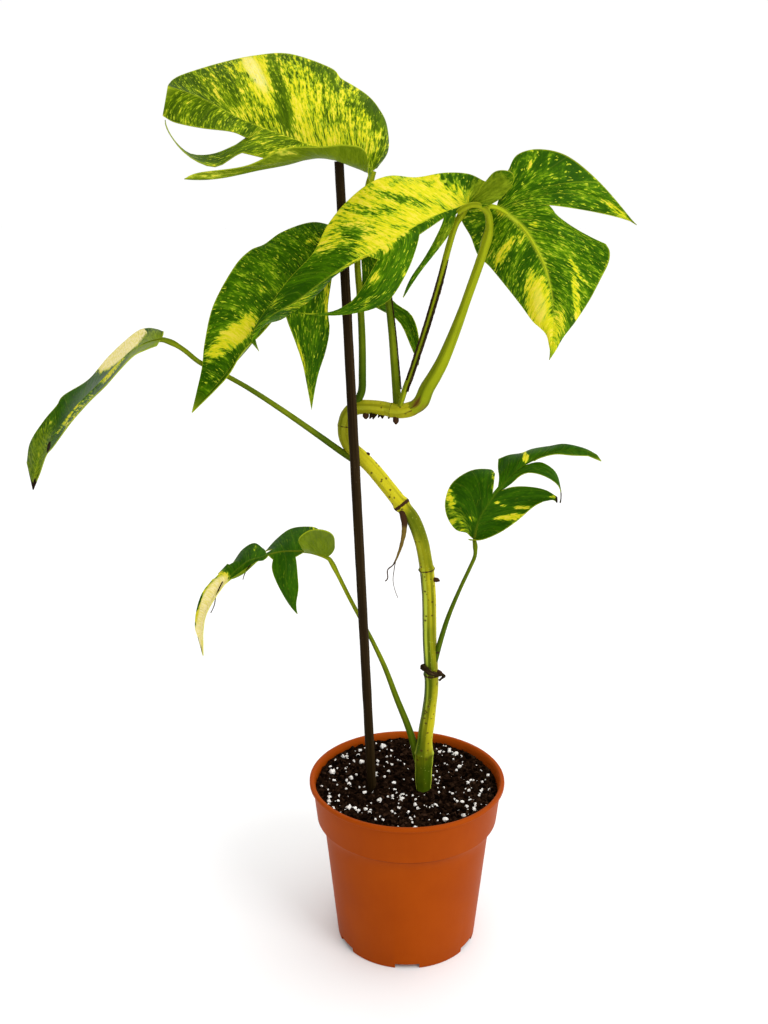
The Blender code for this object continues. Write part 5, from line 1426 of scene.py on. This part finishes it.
def make_roots():
    finish = green_wood_finish(
        "brown aerial root", (0.070, 0.040, 0.008), (0.210, 0.145, 0.030), (0.020, 0.010, 0.003), 5.0, 0.5
    )
    nubs = {
        "root_nub_elbow": ((-8, 5, 256), (0, -0.4, -1), 9.0, 1.6),
        "root_nub_bend": ((-26, 11, 257), (-0.1, -0.3, -1), 8.0, 1.7),
        "root_nub_crook": ((-29, 12, 224.5), (0.85, -0.2, 0.6), 7.5, 1.3),
        "root_nub_middle": ((12.5, 0, 148), (1, -0.3, 0.1), 9.5, 1.3),
        "root_nub_low": ((15, -3, 87), (1, -0.2, -0.3), 9.5, 1.6),
    }
    for node, (start, way, length, radius) in nubs.items():
        base = plant_point(start)
        run = Vector(way).normalized() * 0.82 * length * MM
        droop = Vector((0, 0, -0.12 * length * MM))
        points = [base, base + 0.5 * run, base + 0.8 * run + 0.3 * droop, base + run + droop]

        def radius_at(share, angle, radius=radius):
            rough = 1.0 + 0.14 * uneven(angle, share, 6, 2)
            return 1.15 * radius * MM * rough * math.sqrt(1.0 - 0.9 * blend(0.75, 1.0, share))

        nub = wrapped(points, radius_at, 16, 24)
        paint_wood(nub, sun=0.3, grooved=0.2, tan=0.0, scar=0.9)
        finished(node, nub, [finish], [node], 60.0)
    for node, route, thick, thin in (
        ("aerial_root_long", AERIAL_ROOT, 2.6, 0.4), ("aerial_root_hair", HAIR_ROOT, 0.3, 0.2)
    ):
        points = [plant_point(point) for point in route]

        def radius_at(share, angle, thick=thick, thin=thin):
            radius = thick + (thin - thick) * min(1.0, 1.30 * share) ** 0.8
            return radius * MM * (1.0 + 0.16 * uneven(angle, share, 18))

        root = wrapped(points, radius_at, 14, 90)
        paint_wood(root, sun=0.5, grooved=0.6, tan=0.45, scar=root_brownness)
        finished(node, root, [finish], [node], 60.0)


def make_strands(finish):
    strands = {
        "sheath_strand_dark": ("petiole_dark", 0.12, 0.86, (1, -0.15, 0), 0.4),
        "sheath_strand_left": ("petiole_streaked", 0.16, 0.74, (-0.75, -1, 0), 0.6),
        "sheath_strand_right": ("petiole_streaked", 0.10, 0.74, (0.85, -1, 0), 0.7),
    }
    for node, (stalk, first, last, side, radius) in strands.items():
        route = STALKS[stalk][0]
        shares = [first + (last - first) * share for share in even_shares(16)]
        points = curve_points([plant_point(point) for point in route], shares)
        points = [
            point + Vector(side).normalized() * (stalk_radius(stalk, share) + radius) * MM
            for share, point in zip(shares, points)
        ]

        def radius_at(share, angle, radius=radius):
            ragged = 1.0 + 0.45 * uneven(angle, share, 40)
            return radius * MM * ragged * (1.0 - 0.6 * blend(0.8, 1.0, share))

        strand = wrapped(points, radius_at, 10, 120)
        finished(node, strand, [finish], [node], 60.0)


def make_dry_bits(finish):
    """The torn collar at the low node, the fringe under the top of the stem and the threads at leaf tears."""
    band = [plant_point(point) for point in (
        (9.8, -4.5, 90), (12, -8.0, 89), (15.5, -8.9, 87), (19.5, -7, 85), (22.5, -4, 84),
        (23.5, -3.5, 82.5), (21.8, -3.8, 81), (20.3, -4.5, 80),
    )]

    def band_radius(share, angle):
        return (2.0 - 1.3 * share) * MM * (1.0 + 0.56 * uneven(angle, share, 14))

    finished("torn_collar", wrapped(band, band_radius, 14, 70), [finish], [], 60.0)
    own = random.Random(31)
    for k, x in enumerate((-22.6, -21.0, -17.8, -16.4, -15.2, -11.6)):
        top = plant_point((x, 7.5, 253.4))
        low = top + Vector((own.uniform(-1.6, 1.6), own.uniform(-0.6, 0.2), own.uniform(-3.6, -1.8))) * MM
        wide = own.uniform(1.1, 1.9)
        tooth = wrapped([top, top.lerp(low, 0.6), low], tapering(wide, 0.2 * wide), 8, 8)
        finished(f"sheath_tooth_{k + 1}", tooth, [finish], [], 60.0)
    threads = (
        ((-98.2, -10, 161.5), (-101.0, -13, 158.4), (-103.1, -13, 152.8)),
        ((-115.9, -12, 151.0), (-120.2, -14, 142.2), (-121.4, -14, 136.5), (-124.0, -14, 130.8)),
    )
    for k, points in enumerate(threads):
        thread = wrapped([plant_point(point) for point in points], tapering(0.42, 0.27), 8, 40)
        finished(f"torn_thread_{k + 1}", thread, [finish], [], 60.0)


# ---- The leaves -------------------------------------------------------------------------------------
def leaf_rows(midrib, lobes):
    """One side of a blade, as rows from the midrib to the margin.

    A row is (share along the midrib, number of the rib, points, faces joined to the next row)."""
    shares = [share ** SPREAD for share in even_shares(ACROSS)]
    rows = []
    number = 0
    for joined, ribs in lobes:
        drawn = []
        for along, *outward in ribs:
            start = curve_points(midrib, [along])[0]
            drawn.append((along, curve_points([start] + [plant_point(point) for point in outward], shares)))
        last = len(drawn) - 1
        for i in range(last):
            before, here, there, after = (drawn[max(0, min(last, i + k))] for k in (-1, 0, 1, 2))
            slack_here = 0.5 if i > 0 else 1.0
            slack_there = 0.5 if i + 1 < last else 1.0
            for k in range(ROWS_PER_RIB):
                s = k / ROWS_PER_RIB
                along = here[0] + (there[0] - here[0]) * s
                start = curve_points(midrib, [along])[0]
                points = []
                for share, a, b, c, d in zip(shares, before[1], here[1], there[1], after[1]):
                    leave = (c - a) * slack_here
                    arrive = (d - b) * slack_there
                    points.append(
                        (1 + 2 * s) * (1 - s) ** 2 * b + s * (1 - s) ** 2 * leave
                        + s * s * (3 - 2 * s) * c + s * s * (s - 1) * arrive
                    )
                gap = start - points[0]
                points = [point + gap * (1 - share) ** 2 for share, point in zip(shares, points)]
                rows.append([along, number + s, points, ACROSS])
            number += 1
        rows.append([drawn[last][0], number, drawn[last][1], round(joined ** (1 / SPREAD) * ACROSS)])
        number += 1
    rows.append([1.0, number, [midrib[-1]] * (ACROSS + 1), 0])
    return rows


def make_leaf(node, guides, finishes, painter, rib_width):
    """A blade lofted from its ribs, thick at the midrib and thin at the margin."""
    midrib = [plant_point(point) for point in guides["midrib"]]
    sides = [leaf_rows(midrib, lobes) for lobes in guides["sides"]]
    bm = bmesh.new()
    streaks = bm.loops.layers.uv.new("streaks")
    veins = bm.loops.layers.uv.new("veins")
    side_of = bm.verts.layers.float.new("side")
    out_of = bm.verts.layers.float.new("out")
    along_of = bm.verts.layers.float.new("along")
    stops = sorted({along for rows in sides for along, _, _, _ in rows})
    spine = {}
    for along in stops:
        vert = bm.verts.new(curve_points(midrib, [along])[0])
        vert[along_of] = along
        spine[along] = vert
    for flip, rows in enumerate(sides):
        grid = []
        across = 0.0
        for i, (along, number, points, _) in enumerate(rows[:-1]):
            if i:
                middle = ACROSS // 2
                across += (points[middle] - rows[i - 1][2][middle]).length / MM
            line = [spine[along]]
            out = 0.0
            places = [(across, 0.0, number, 0.0)]
            for j in range(1, ACROSS + 1):
                vert = bm.verts.new(points[j])
                vert[side_of] = 1.0 if flip else -1.0
                vert[out_of] = j / ACROSS
                vert[along_of] = along
                out += (points[j] - points[j - 1]).length / MM
                line.append(vert)
                places.append((across, out, number, j / ACROSS))
            grid.append((line, places))
        tip = (across, 0.0, rows[-1][1], 0.0)
        grid.append(([spine[1.0]] * (ACROSS + 1), [tip] * (ACROSS + 1)))
        for k in range(len(rows) - 1):
            (line, places), (next_line, next_places) = grid[k], grid[k + 1]
            for j in range(rows[k][3]):
                ring = {line[j + 1]: places[j + 1], line[j]: places[j]}
                if j == 0:
                    for stop in stops:
                        if rows[k][0] < stop < rows[k + 1][0]:
                            ring[spine[stop]] = places[0]
                ring.setdefault(next_line[j], next_places[j])
                ring.setdefault(next_line[j + 1], next_places[j + 1])
                if len(ring) < 3:
                    continue
                order = list(ring)
                if flip:
                    order.reverse()
                face = bm.faces.new(order)
                for loop in face.loops:
                    across, out, number, share = ring[loop.vert]
                    loop[streaks].uv = (across + 400 * flip, out)
                    loop[veins].uv = (number, share)
    bmesh.ops.delete(bm, geom=[vert for vert in bm.verts if not vert.link_faces], context="VERTS")
    bmesh.ops.remove_doubles(bm, verts=bm.verts, dist=0.02 * MM)
    mesh = bpy.data.meshes.new(node)
    edge = [vert.co.copy() for vert in bm.verts if vert.is_boundary]
    bm.to_mesh(mesh)
    bm.free()
    leaf = bpy.data.objects.new(node, mesh)
    bpy.context.scene.collection.objects.link(leaf)
    paint_leaf(leaf, midrib, edge, painter, rib_width)
    for finish in finishes:
        mesh.materials.append(finish)
    thicken(leaf)
    return finished(node.replace("leaf", "blade"), leaf, [], [node], 70.0)


def nearest_distances(points, places):
    tree = search_tree(places)
    return [tree.find(point)[2] for point in points]


def paint_leaf(leaf, midrib, edge, painter, rib_width):
    """Paints how yellow, pale and dry each point is, and how near the margin and the midrib."""
    mesh = leaf.data
    points = [vert.co.copy() for vert in mesh.vertices]
    to_edge = nearest_distances(points, edge)
    line = curve_points(midrib, even_shares(300))
    to_line = nearest_distances(points, line)
    sides = [item.value for item in mesh.attributes["side"].data]
    outs = [item.value for item in mesh.attributes["out"].data]
    alongs = [item.value for item in mesh.attributes["along"].data]
    layers = {name: [] for name in ("gold", "pale", "dry", "nerve", "olive", "rim", "spine", "thick")}
    for point, side, out, along, rim, rib in zip(points, sides, outs, alongs, to_edge, to_line):
        x, height = point.x / MM, (point.z - SOIL_LEVEL) / MM
        amounts = {"gold": 0.0, "pale": 0.0, "dry": 0.0, "nerve": 0.0, "spine": 0.0, "olive": 0.0}
        for kind, on_side, middle, reach, lean, amount in painter:
            if on_side and on_side * side < 0:
                continue
            turn = math.radians(lean)
            dx, dh = x - middle[0], height - middle[1]
            a = (dx * math.cos(turn) + dh * math.sin(turn)) / reach[0]
            b = (dh * math.cos(turn) - dx * math.sin(turn)) / reach[1]
            amounts[kind] += amount * blend(1.55, 0.45, math.hypot(a, b))
        layers["rim"].append(math.exp(-rim / (0.5 * MM)))
        near = math.exp(-(rib / (rib_width * (1.0 - 0.7 * along) * MM)) ** 2)
        amounts["spine"] = near * (0.30 + amounts["spine"])
        for kind, amount in amounts.items():
            layers[kind].append(amount)
        layers["thick"].append(near * (1.0 - 0.75 * along))
    for name, values in layers.items():
        if name != "thick":
            mesh.attributes.new(name, "FLOAT", "POINT").data.foreach_set("value", values)
    group = leaf.vertex_groups.new(name="thick")
    for index, amount in enumerate(layers["thick"]):
        group.add([index], amount, "REPLACE")


def thicken(leaf):
    shell = leaf.modifiers.new("blade", "SOLIDIFY")
    shell.thickness = MIDRIB
    shell.offset = 0.0
    shell.vertex_group = "thick"
    shell.thickness_vertex_group = BLADE / MIDRIB
    shell.material_offset = 1
    apply_modifier(leaf, shell)


# A patch is (kind, side of the midrib, its middle in millimetres, its reach along and across, lean, amount).
# Side -1 is the first side in the leaf's guide lines, 1 the second and 0 both.
TOP_PATCHES = [
    ("gold", -1, (-60, 434), (78, 38), 0, 0.36),
    ("gold", -1, (-124, 434), (24, 19), 0, -0.10),
    ("gold", -1, (-87, 449), (21, 7), -55, 0.40),
    ("pale", -1, (-90, 452), (18, 5), -55, 0.55),
    ("gold", -1, (-94, 457), (11, 4), 15, 0.35),
    ("gold", -1, (-75, 440), (24, 4), -72, -0.5),
    ("gold", -1, (-60, 432), (24, 8), -75, 0.22),
    ("gold", -1, (-55, 456), (10, 5), -40, -0.2),
    ("gold", -1, (-21, 433), (15, 5), -55, -0.75),
    ("gold", -1, (-48, 450), (10, 4), -60, -0.25),
    ("gold", -1, (-29, 437), (15, 4), -62, 0.2),
    ("gold", -1, (-38, 413), (16, 7), 0, 0.22),
    ("gold", -1, (-72, 429), (8, 4), -60, -0.2),
    ("gold", -1, (-101, 440), (6, 14), -20, -0.15),
    ("gold", 1, (-108, 423), (36, 9), -15, 0.16),
    ("gold", 1, (-93, 401), (36, 6), 15, 0.22),
    ("gold", 1, (-114, 396), (14, 3), 5, 0.20),
    ("gold", 1, (-70, 408), (9, 3), 10, 0.25),
    ("gold", 1, (-98, 406), (9, 5), 15, -0.1),
]
STREAKED_PATCHES = [
    ("gold", -1, (-14, 379), (70, 27), 22, 0.92),
    ("gold", -1, (29, 393), (16, 5), -12, -0.7),
    ("gold", -1, (23, 386), (6, 2), -45, -0.25),
    ("gold", -1, (-9, 383), (18, 3), -12, -0.66),
    ("gold", -1, (-22, 376), (18, 3), -3, -0.55),
    ("gold", -1, (-31, 366), (16, 5), -5, -0.42),
    ("gold", -1, (-7, 372), (12, 3), 5, 0.2),
    ("gold", -1, (-46, 356), (9, 3), 40, 0.25),
    ("gold", -1, (-56, 340), (34, 10), 42, -0.8),
    ("gold", -1, (-77, 324), (7, 3), 42, 0.85),
    ("gold", 1, (-19, 358), (27, 4), 30, 0.62),
    ("gold", 1, (-65, 323), (14, 5), 42, 0.28),
    ("gold", 1, (-12, 357), (5, 2), 55, 0.45),
    ("gold", 1, (-20, 340), (4, 2), 60, 0.5),
    ("gold", 1, (-4, 342), (2, 3), 0, 0.35),
    ("gold", 1, (-26, 326), (4, 2), 50, 0.45),
    ("gold", 1, (6, 372), (7, 3), 20, 0.3),
    ("olive", 0, (45, 388), (13, 9), 20, 0.75),
    ("olive", 1, (22, 360), (14, 9), 60, 0.55),
]
RIGHT_PATCHES = [
    ("gold", 0, (75, 348), (50, 58), 0, 0.13),
    ("spine", 0, (68, 360), (30, 10), -60, 0.75),
    ("nerve", -1, (80, 378), (40, 14), 10, 0.40),
    ("nerve", 0, (66, 366), (16, 8), -30, 0.2),
    ("gold", 1, (76, 321), (17, 6), -78, 1.05),
    ("pale", 1, (76, 322), (15, 5), -78, 0.40),
    ("gold", -1, (81, 321), (15, 2), -85, 0.35),
    ("gold", 0, (85, 301), (13, 4), -80, 0.70),
    ("gold", -1, (96, 342), (9, 1), -58, 0.6),
    ("gold", -1, (97, 325), (14, 2), -80, 0.55),
    ("gold", -1, (89, 313), (7, 3), -80, 0.3),
    ("gold", 1, (54, 351), (9, 2), 60, 0.60),
    ("gold", -1, (71, 367), (3, 2), 0, 0.42),
    ("gold", 1, (54, 374), (5, 2), 0, 0.35),
    ("gold", -1, (63, 378), (4, 2), 10, 0.25),
    ("gold", -1, (120, 374), (9, 2), -38, 0.62),
    ("gold", 1, (39, 376), (6, 2), 0, 0.4),
    ("gold", 1, (64, 361), (4, 5), -60, 0.18),
    ("gold", -1, (75, 407), (11, 3), 10, 0.10),
    ("gold", -1, (68, 400), (5, 2), 40, 0.22),
]
DARK_PATCHES = [
    ("gold", 0, (-86, 330), (50, 50), 0, 0.08),
    ("gold", -1, (-107, 301), (17, 5), 40, 0.95),
    ("gold", 0, (-99, 306), (10, 4), 40, 0.15),
    ("gold", -1, (-57, 357), (6, 2), 10, 0.3),
    ("gold", -1, (-119, 279), (3, 3), 30, 0.4),
    ("gold", 1, (-49, 324), (14, 2), 88, 0.5),
    ("gold", 1, (-65, 289), (13, 2), -73, 0.42),
    ("gold", 1, (-60, 265), (7, 3), -80, 0.35),
    ("gold", -1, (-87, 329), (5, 2), 0, 0.2),
    ("gold", -1, (-98, 316), (5, 2), 20, 0.15),
]
FAR_PATCHES = [
    ("spine", 0, (-190, 255), (90, 90), 0, -0.15),
    ("olive", 0, (-151, 298), (11, 8), 10, 0.85),
    ("gold", 1, (-188, 270), (30, 3), 50, 0.32),
    ("pale", -1, (-175, 292), (21, 4), 38, 1.3),
    ("gold", -1, (-175, 292), (21, 4), 38, 1.3),
    ("olive", 0, (-224, 228), (26, 12), 75, 0.55),
    ("olive", 1, (-155, 297), (14, 8), 30, 0.5),
    ("gold", -1, (-159, 304), (5, 1), -5, -1.0),
    ("gold", 1, (-175, 285), (11, 2), 45, 0.5),
    ("gold", 1, (-171, 290), (7, 1), 50, 0.35),
    ("gold", 1, (-198, 263), (12, 1), 55, 0.5),
    ("gold", 1, (-206, 252), (8, 1), 50, 0.45),
    ("gold", 0, (-222, 247), (5, 1), 35, 0.35),
    ("gold", 0, (-224, 228), (11, 1), 75, 0.4),
    ("dry", 0, (-228, 212), (4, 3), 0, 1.3),
    ("dry", 1, (-214, 240), (2, 2), 60, 1.2),
]
LOW_LEFT_PATCHES = [
    ("spine", 0, (-90, 140), (90, 80), 0, -0.22),
    ("gold", 0, (-121, 143), (12, 6), 52, 1.1),
    ("pale", 0, (-121, 143), (12, 5), 52, 1.1),
    ("gold", 0, (-129, 128), (14, 6), 72, 1.1),
    ("pale", 0, (-128, 128), (14, 4), 72, 1.1),
    ("gold", 0, (-132, 113), (9, 5), 90, 1.1),
    ("pale", 0, (-131, 112), (9, 4), 90, 1.0),
    ("gold", 0, (-130, 103), (6, 3), 110, 1.0),
    ("pale", 0, (-130, 103), (6, 3), 110, 1.0),
    ("gold", -1, (-132, 135), (6, 1), 68, -1.3),
    ("gold", -1, (-135, 121), (2, 1), 80, -1.3),
    ("gold", -1, (-134, 112), (2, 1), -50, -1.3),
    ("gold", 1, (-79, 154), (1, 1), 0, 0.5),
    ("gold", -1, (-97, 167), (1, 1), 0, 0.5),
    ("gold", -1, (-61, 175), (5, 1), -10, 0.4),
]
LOW_RIGHT_PATCHES = [
    ("spine", 0, (70, 210), (90, 60), 0, -0.24),
    ("olive", -1, (30, 190), (12, 6), -50, 0.45),
    ("gold", -1, (26, 202), (9, 3), -75, 0.40),
    ("gold", -1, (26, 200), (5, 1), -70, 0.5),
    ("gold", -1, (31, 186), (9, 4), -40, 0.50),
    ("gold", -1, (32, 189), (4, 1), -60, 0.4),
    ("gold", -1, (39, 190), (3, 2), 0, 0.35),
    ("gold", -1, (52, 211), (2, 2), 0, 0.6),
    ("gold", -1, (52, 216), (1, 3), 0, 0.4),
    ("gold", -1, (71, 229), (1.6, 2.2), -25, 0.9),
    ("gold", 1, (63, 194), (10, 1.6), 15, 0.75),
    ("gold", 1, (69, 200), (5, 1), 10, 0.5),
    ("gold", 1, (54, 202), (2, 1), 0, 0.5),
    ("gold", 1, (58, 200), (2, 1), 0, 0.4),
    ("gold", 1, (88, 207), (3, 1), 10, 0.5),
    ("dry", 1, (90, 205), (1, 2), 0, 1.2),
    ("dry", 1, (92, 207), (5, 1), 88, 0.9),
    ("gold", 0, (115, 230), (2, 1), -30, 0.5),
    ("gold", 1, (66, 192), (3, 1), 20, 0.5),
]


def make_leaves():
    yellow = (0.600, 0.560, 0.010)
    sunlit = leaf_finish(
        "sunlit leaf", (0.034, 0.072, 0.0006), (0.095, 0.165, 0.0012), (0.250, 0.345, 0.005),
        yellow, 0.85, 1.0,
    )
    fresh = leaf_finish(
        "fresh leaf", (0.018, 0.066, 0.0006), (0.056, 0.150, 0.0008), (0.210, 0.345, 0.006),
        yellow, 0.9, 0.72,
    )
    deep = leaf_finish(
        "deep green leaf", (0.014, 0.056, 0.0006), (0.030, 0.098, 0.0008), (0.130, 0.260, 0.005),
        yellow, 0.12, 0.30,
    )
    under = leaf_finish(
        "leaf underside", (0.095, 0.150, 0.0030), (0.150, 0.215, 0.0060), (0.210, 0.275, 0.0110),
        (0.36, 0.41, 0.030), 0.08, 0.5,
    )
    # name: (guide lines, patches, upper finish, whether the upper side is the mesh's first, midrib's width)
    leaves = {
        "leaf_top": (TOP_LEAF, TOP_PATCHES, sunlit, False, 1.0),
        "leaf_streaked": (STREAKED_LEAF, STREAKED_PATCHES, fresh, False, 0.5),
        "leaf_right": (RIGHT_LEAF, RIGHT_PATCHES, fresh, True, 1.3),
        "leaf_dark": (DARK_LEAF, DARK_PATCHES, fresh, False, 0.5),
        "leaf_far": (FAR_LEAF, FAR_PATCHES, deep, False, 0.7),
        "leaf_low_left": (LOW_LEFT_LEAF, LOW_LEFT_PATCHES, deep, False, 0.7),
        "leaf_low_right": (LOW_RIGHT_LEAF, LOW_RIGHT_PATCHES, deep, True, 0.7),
    }
    for node, (guides, patches, upper, upper_first, rib_width) in leaves.items():
        finishes = [upper, under] if upper_first else [under, upper]
        make_leaf(node, guides, finishes, patches, rib_width)


# ---- The room ---------------------------------------------------------------------------------------
def make_floor():
    deselect_all()
    bpy.ops.mesh.primitive_plane_add(size=14.0, location=(0, 0, 0))
    floor = bpy.context.object
    floor.name = "floor"
    finish = Finish("pale floor", Base_Color=(0.92, 0.92, 0.92, 1.0), Roughness=0.9, Specular_IOR_Level=0.0)
    floor.data.materials.append(finish.material)


def add_softbox(name, place, target, size, power):
    lamp = bpy.data.lights.new(name, "AREA")
    lamp.shape = "RECTANGLE"
    lamp.size, lamp.size_y = size
    lamp.energy = power
    softbox = bpy.data.objects.new(name, lamp)
    bpy.context.scene.collection.objects.link(softbox)
    softbox.location = place
    softbox.rotation_euler = (Vector(target) - Vector(place)).to_track_quat("-Z", "Y").to_euler()


def light_room():
    """White surroundings, brighter overhead and to the right, and dimmer high up on the left."""
    world = bpy.data.worlds.new("studio")
    world.use_nodes = True
    bpy.context.scene.world = world
    sky = Nodes(world.node_tree)
    way = sky.node("ShaderNodeTexCoord", {}, {}, "Generated")
    rightward = sky.part_of(way, "X")
    upward = sky.part_of(way, "Z")
    brightness = 1.01 + 0.55 * rightward.between(0.40, 0.95) + 0.45 * upward.between(0.35, 1.0)
    brightness = brightness - 0.95 * rightward.between(-0.25, -0.80) * upward.between(0.17, 0.36)
    background = sky.tree.nodes["Background"]
    sky.feed(background.inputs["Color"], (1.0, 1.0, 1.0))
    sky.feed(background.inputs["Strength"], brightness)
    add_softbox("key", (1.1, -1.2, 1.5), (0, 0, 0.3), (0.8, 0.8), 14.0)
    bpy.context.scene.view_settings.view_transform = "Standard"


def add_camera():
    lens = bpy.data.cameras.new("camera")
    lens.lens = CAMERA_LENS
    lens.sensor_width = CAMERA_SENSOR
    camera = bpy.data.objects.new("camera", lens)
    bpy.context.scene.collection.objects.link(camera)
    camera.location = CAMERA_PLACE
    camera.rotation_euler = (math.radians(90 - CAMERA_PITCH), 0.0, 0.0)
    bpy.context.scene.camera = camera


make_pot()
make_soil()
make_crumbs()
make_perlite()
make_stake()
make_stem()
make_stalks()
make_pale_midrib()
make_roots()
dry = dry_finish()
make_strands(dry)
make_dry_bits(dry)
make_leaves()
make_floor()
light_room()
add_camera()
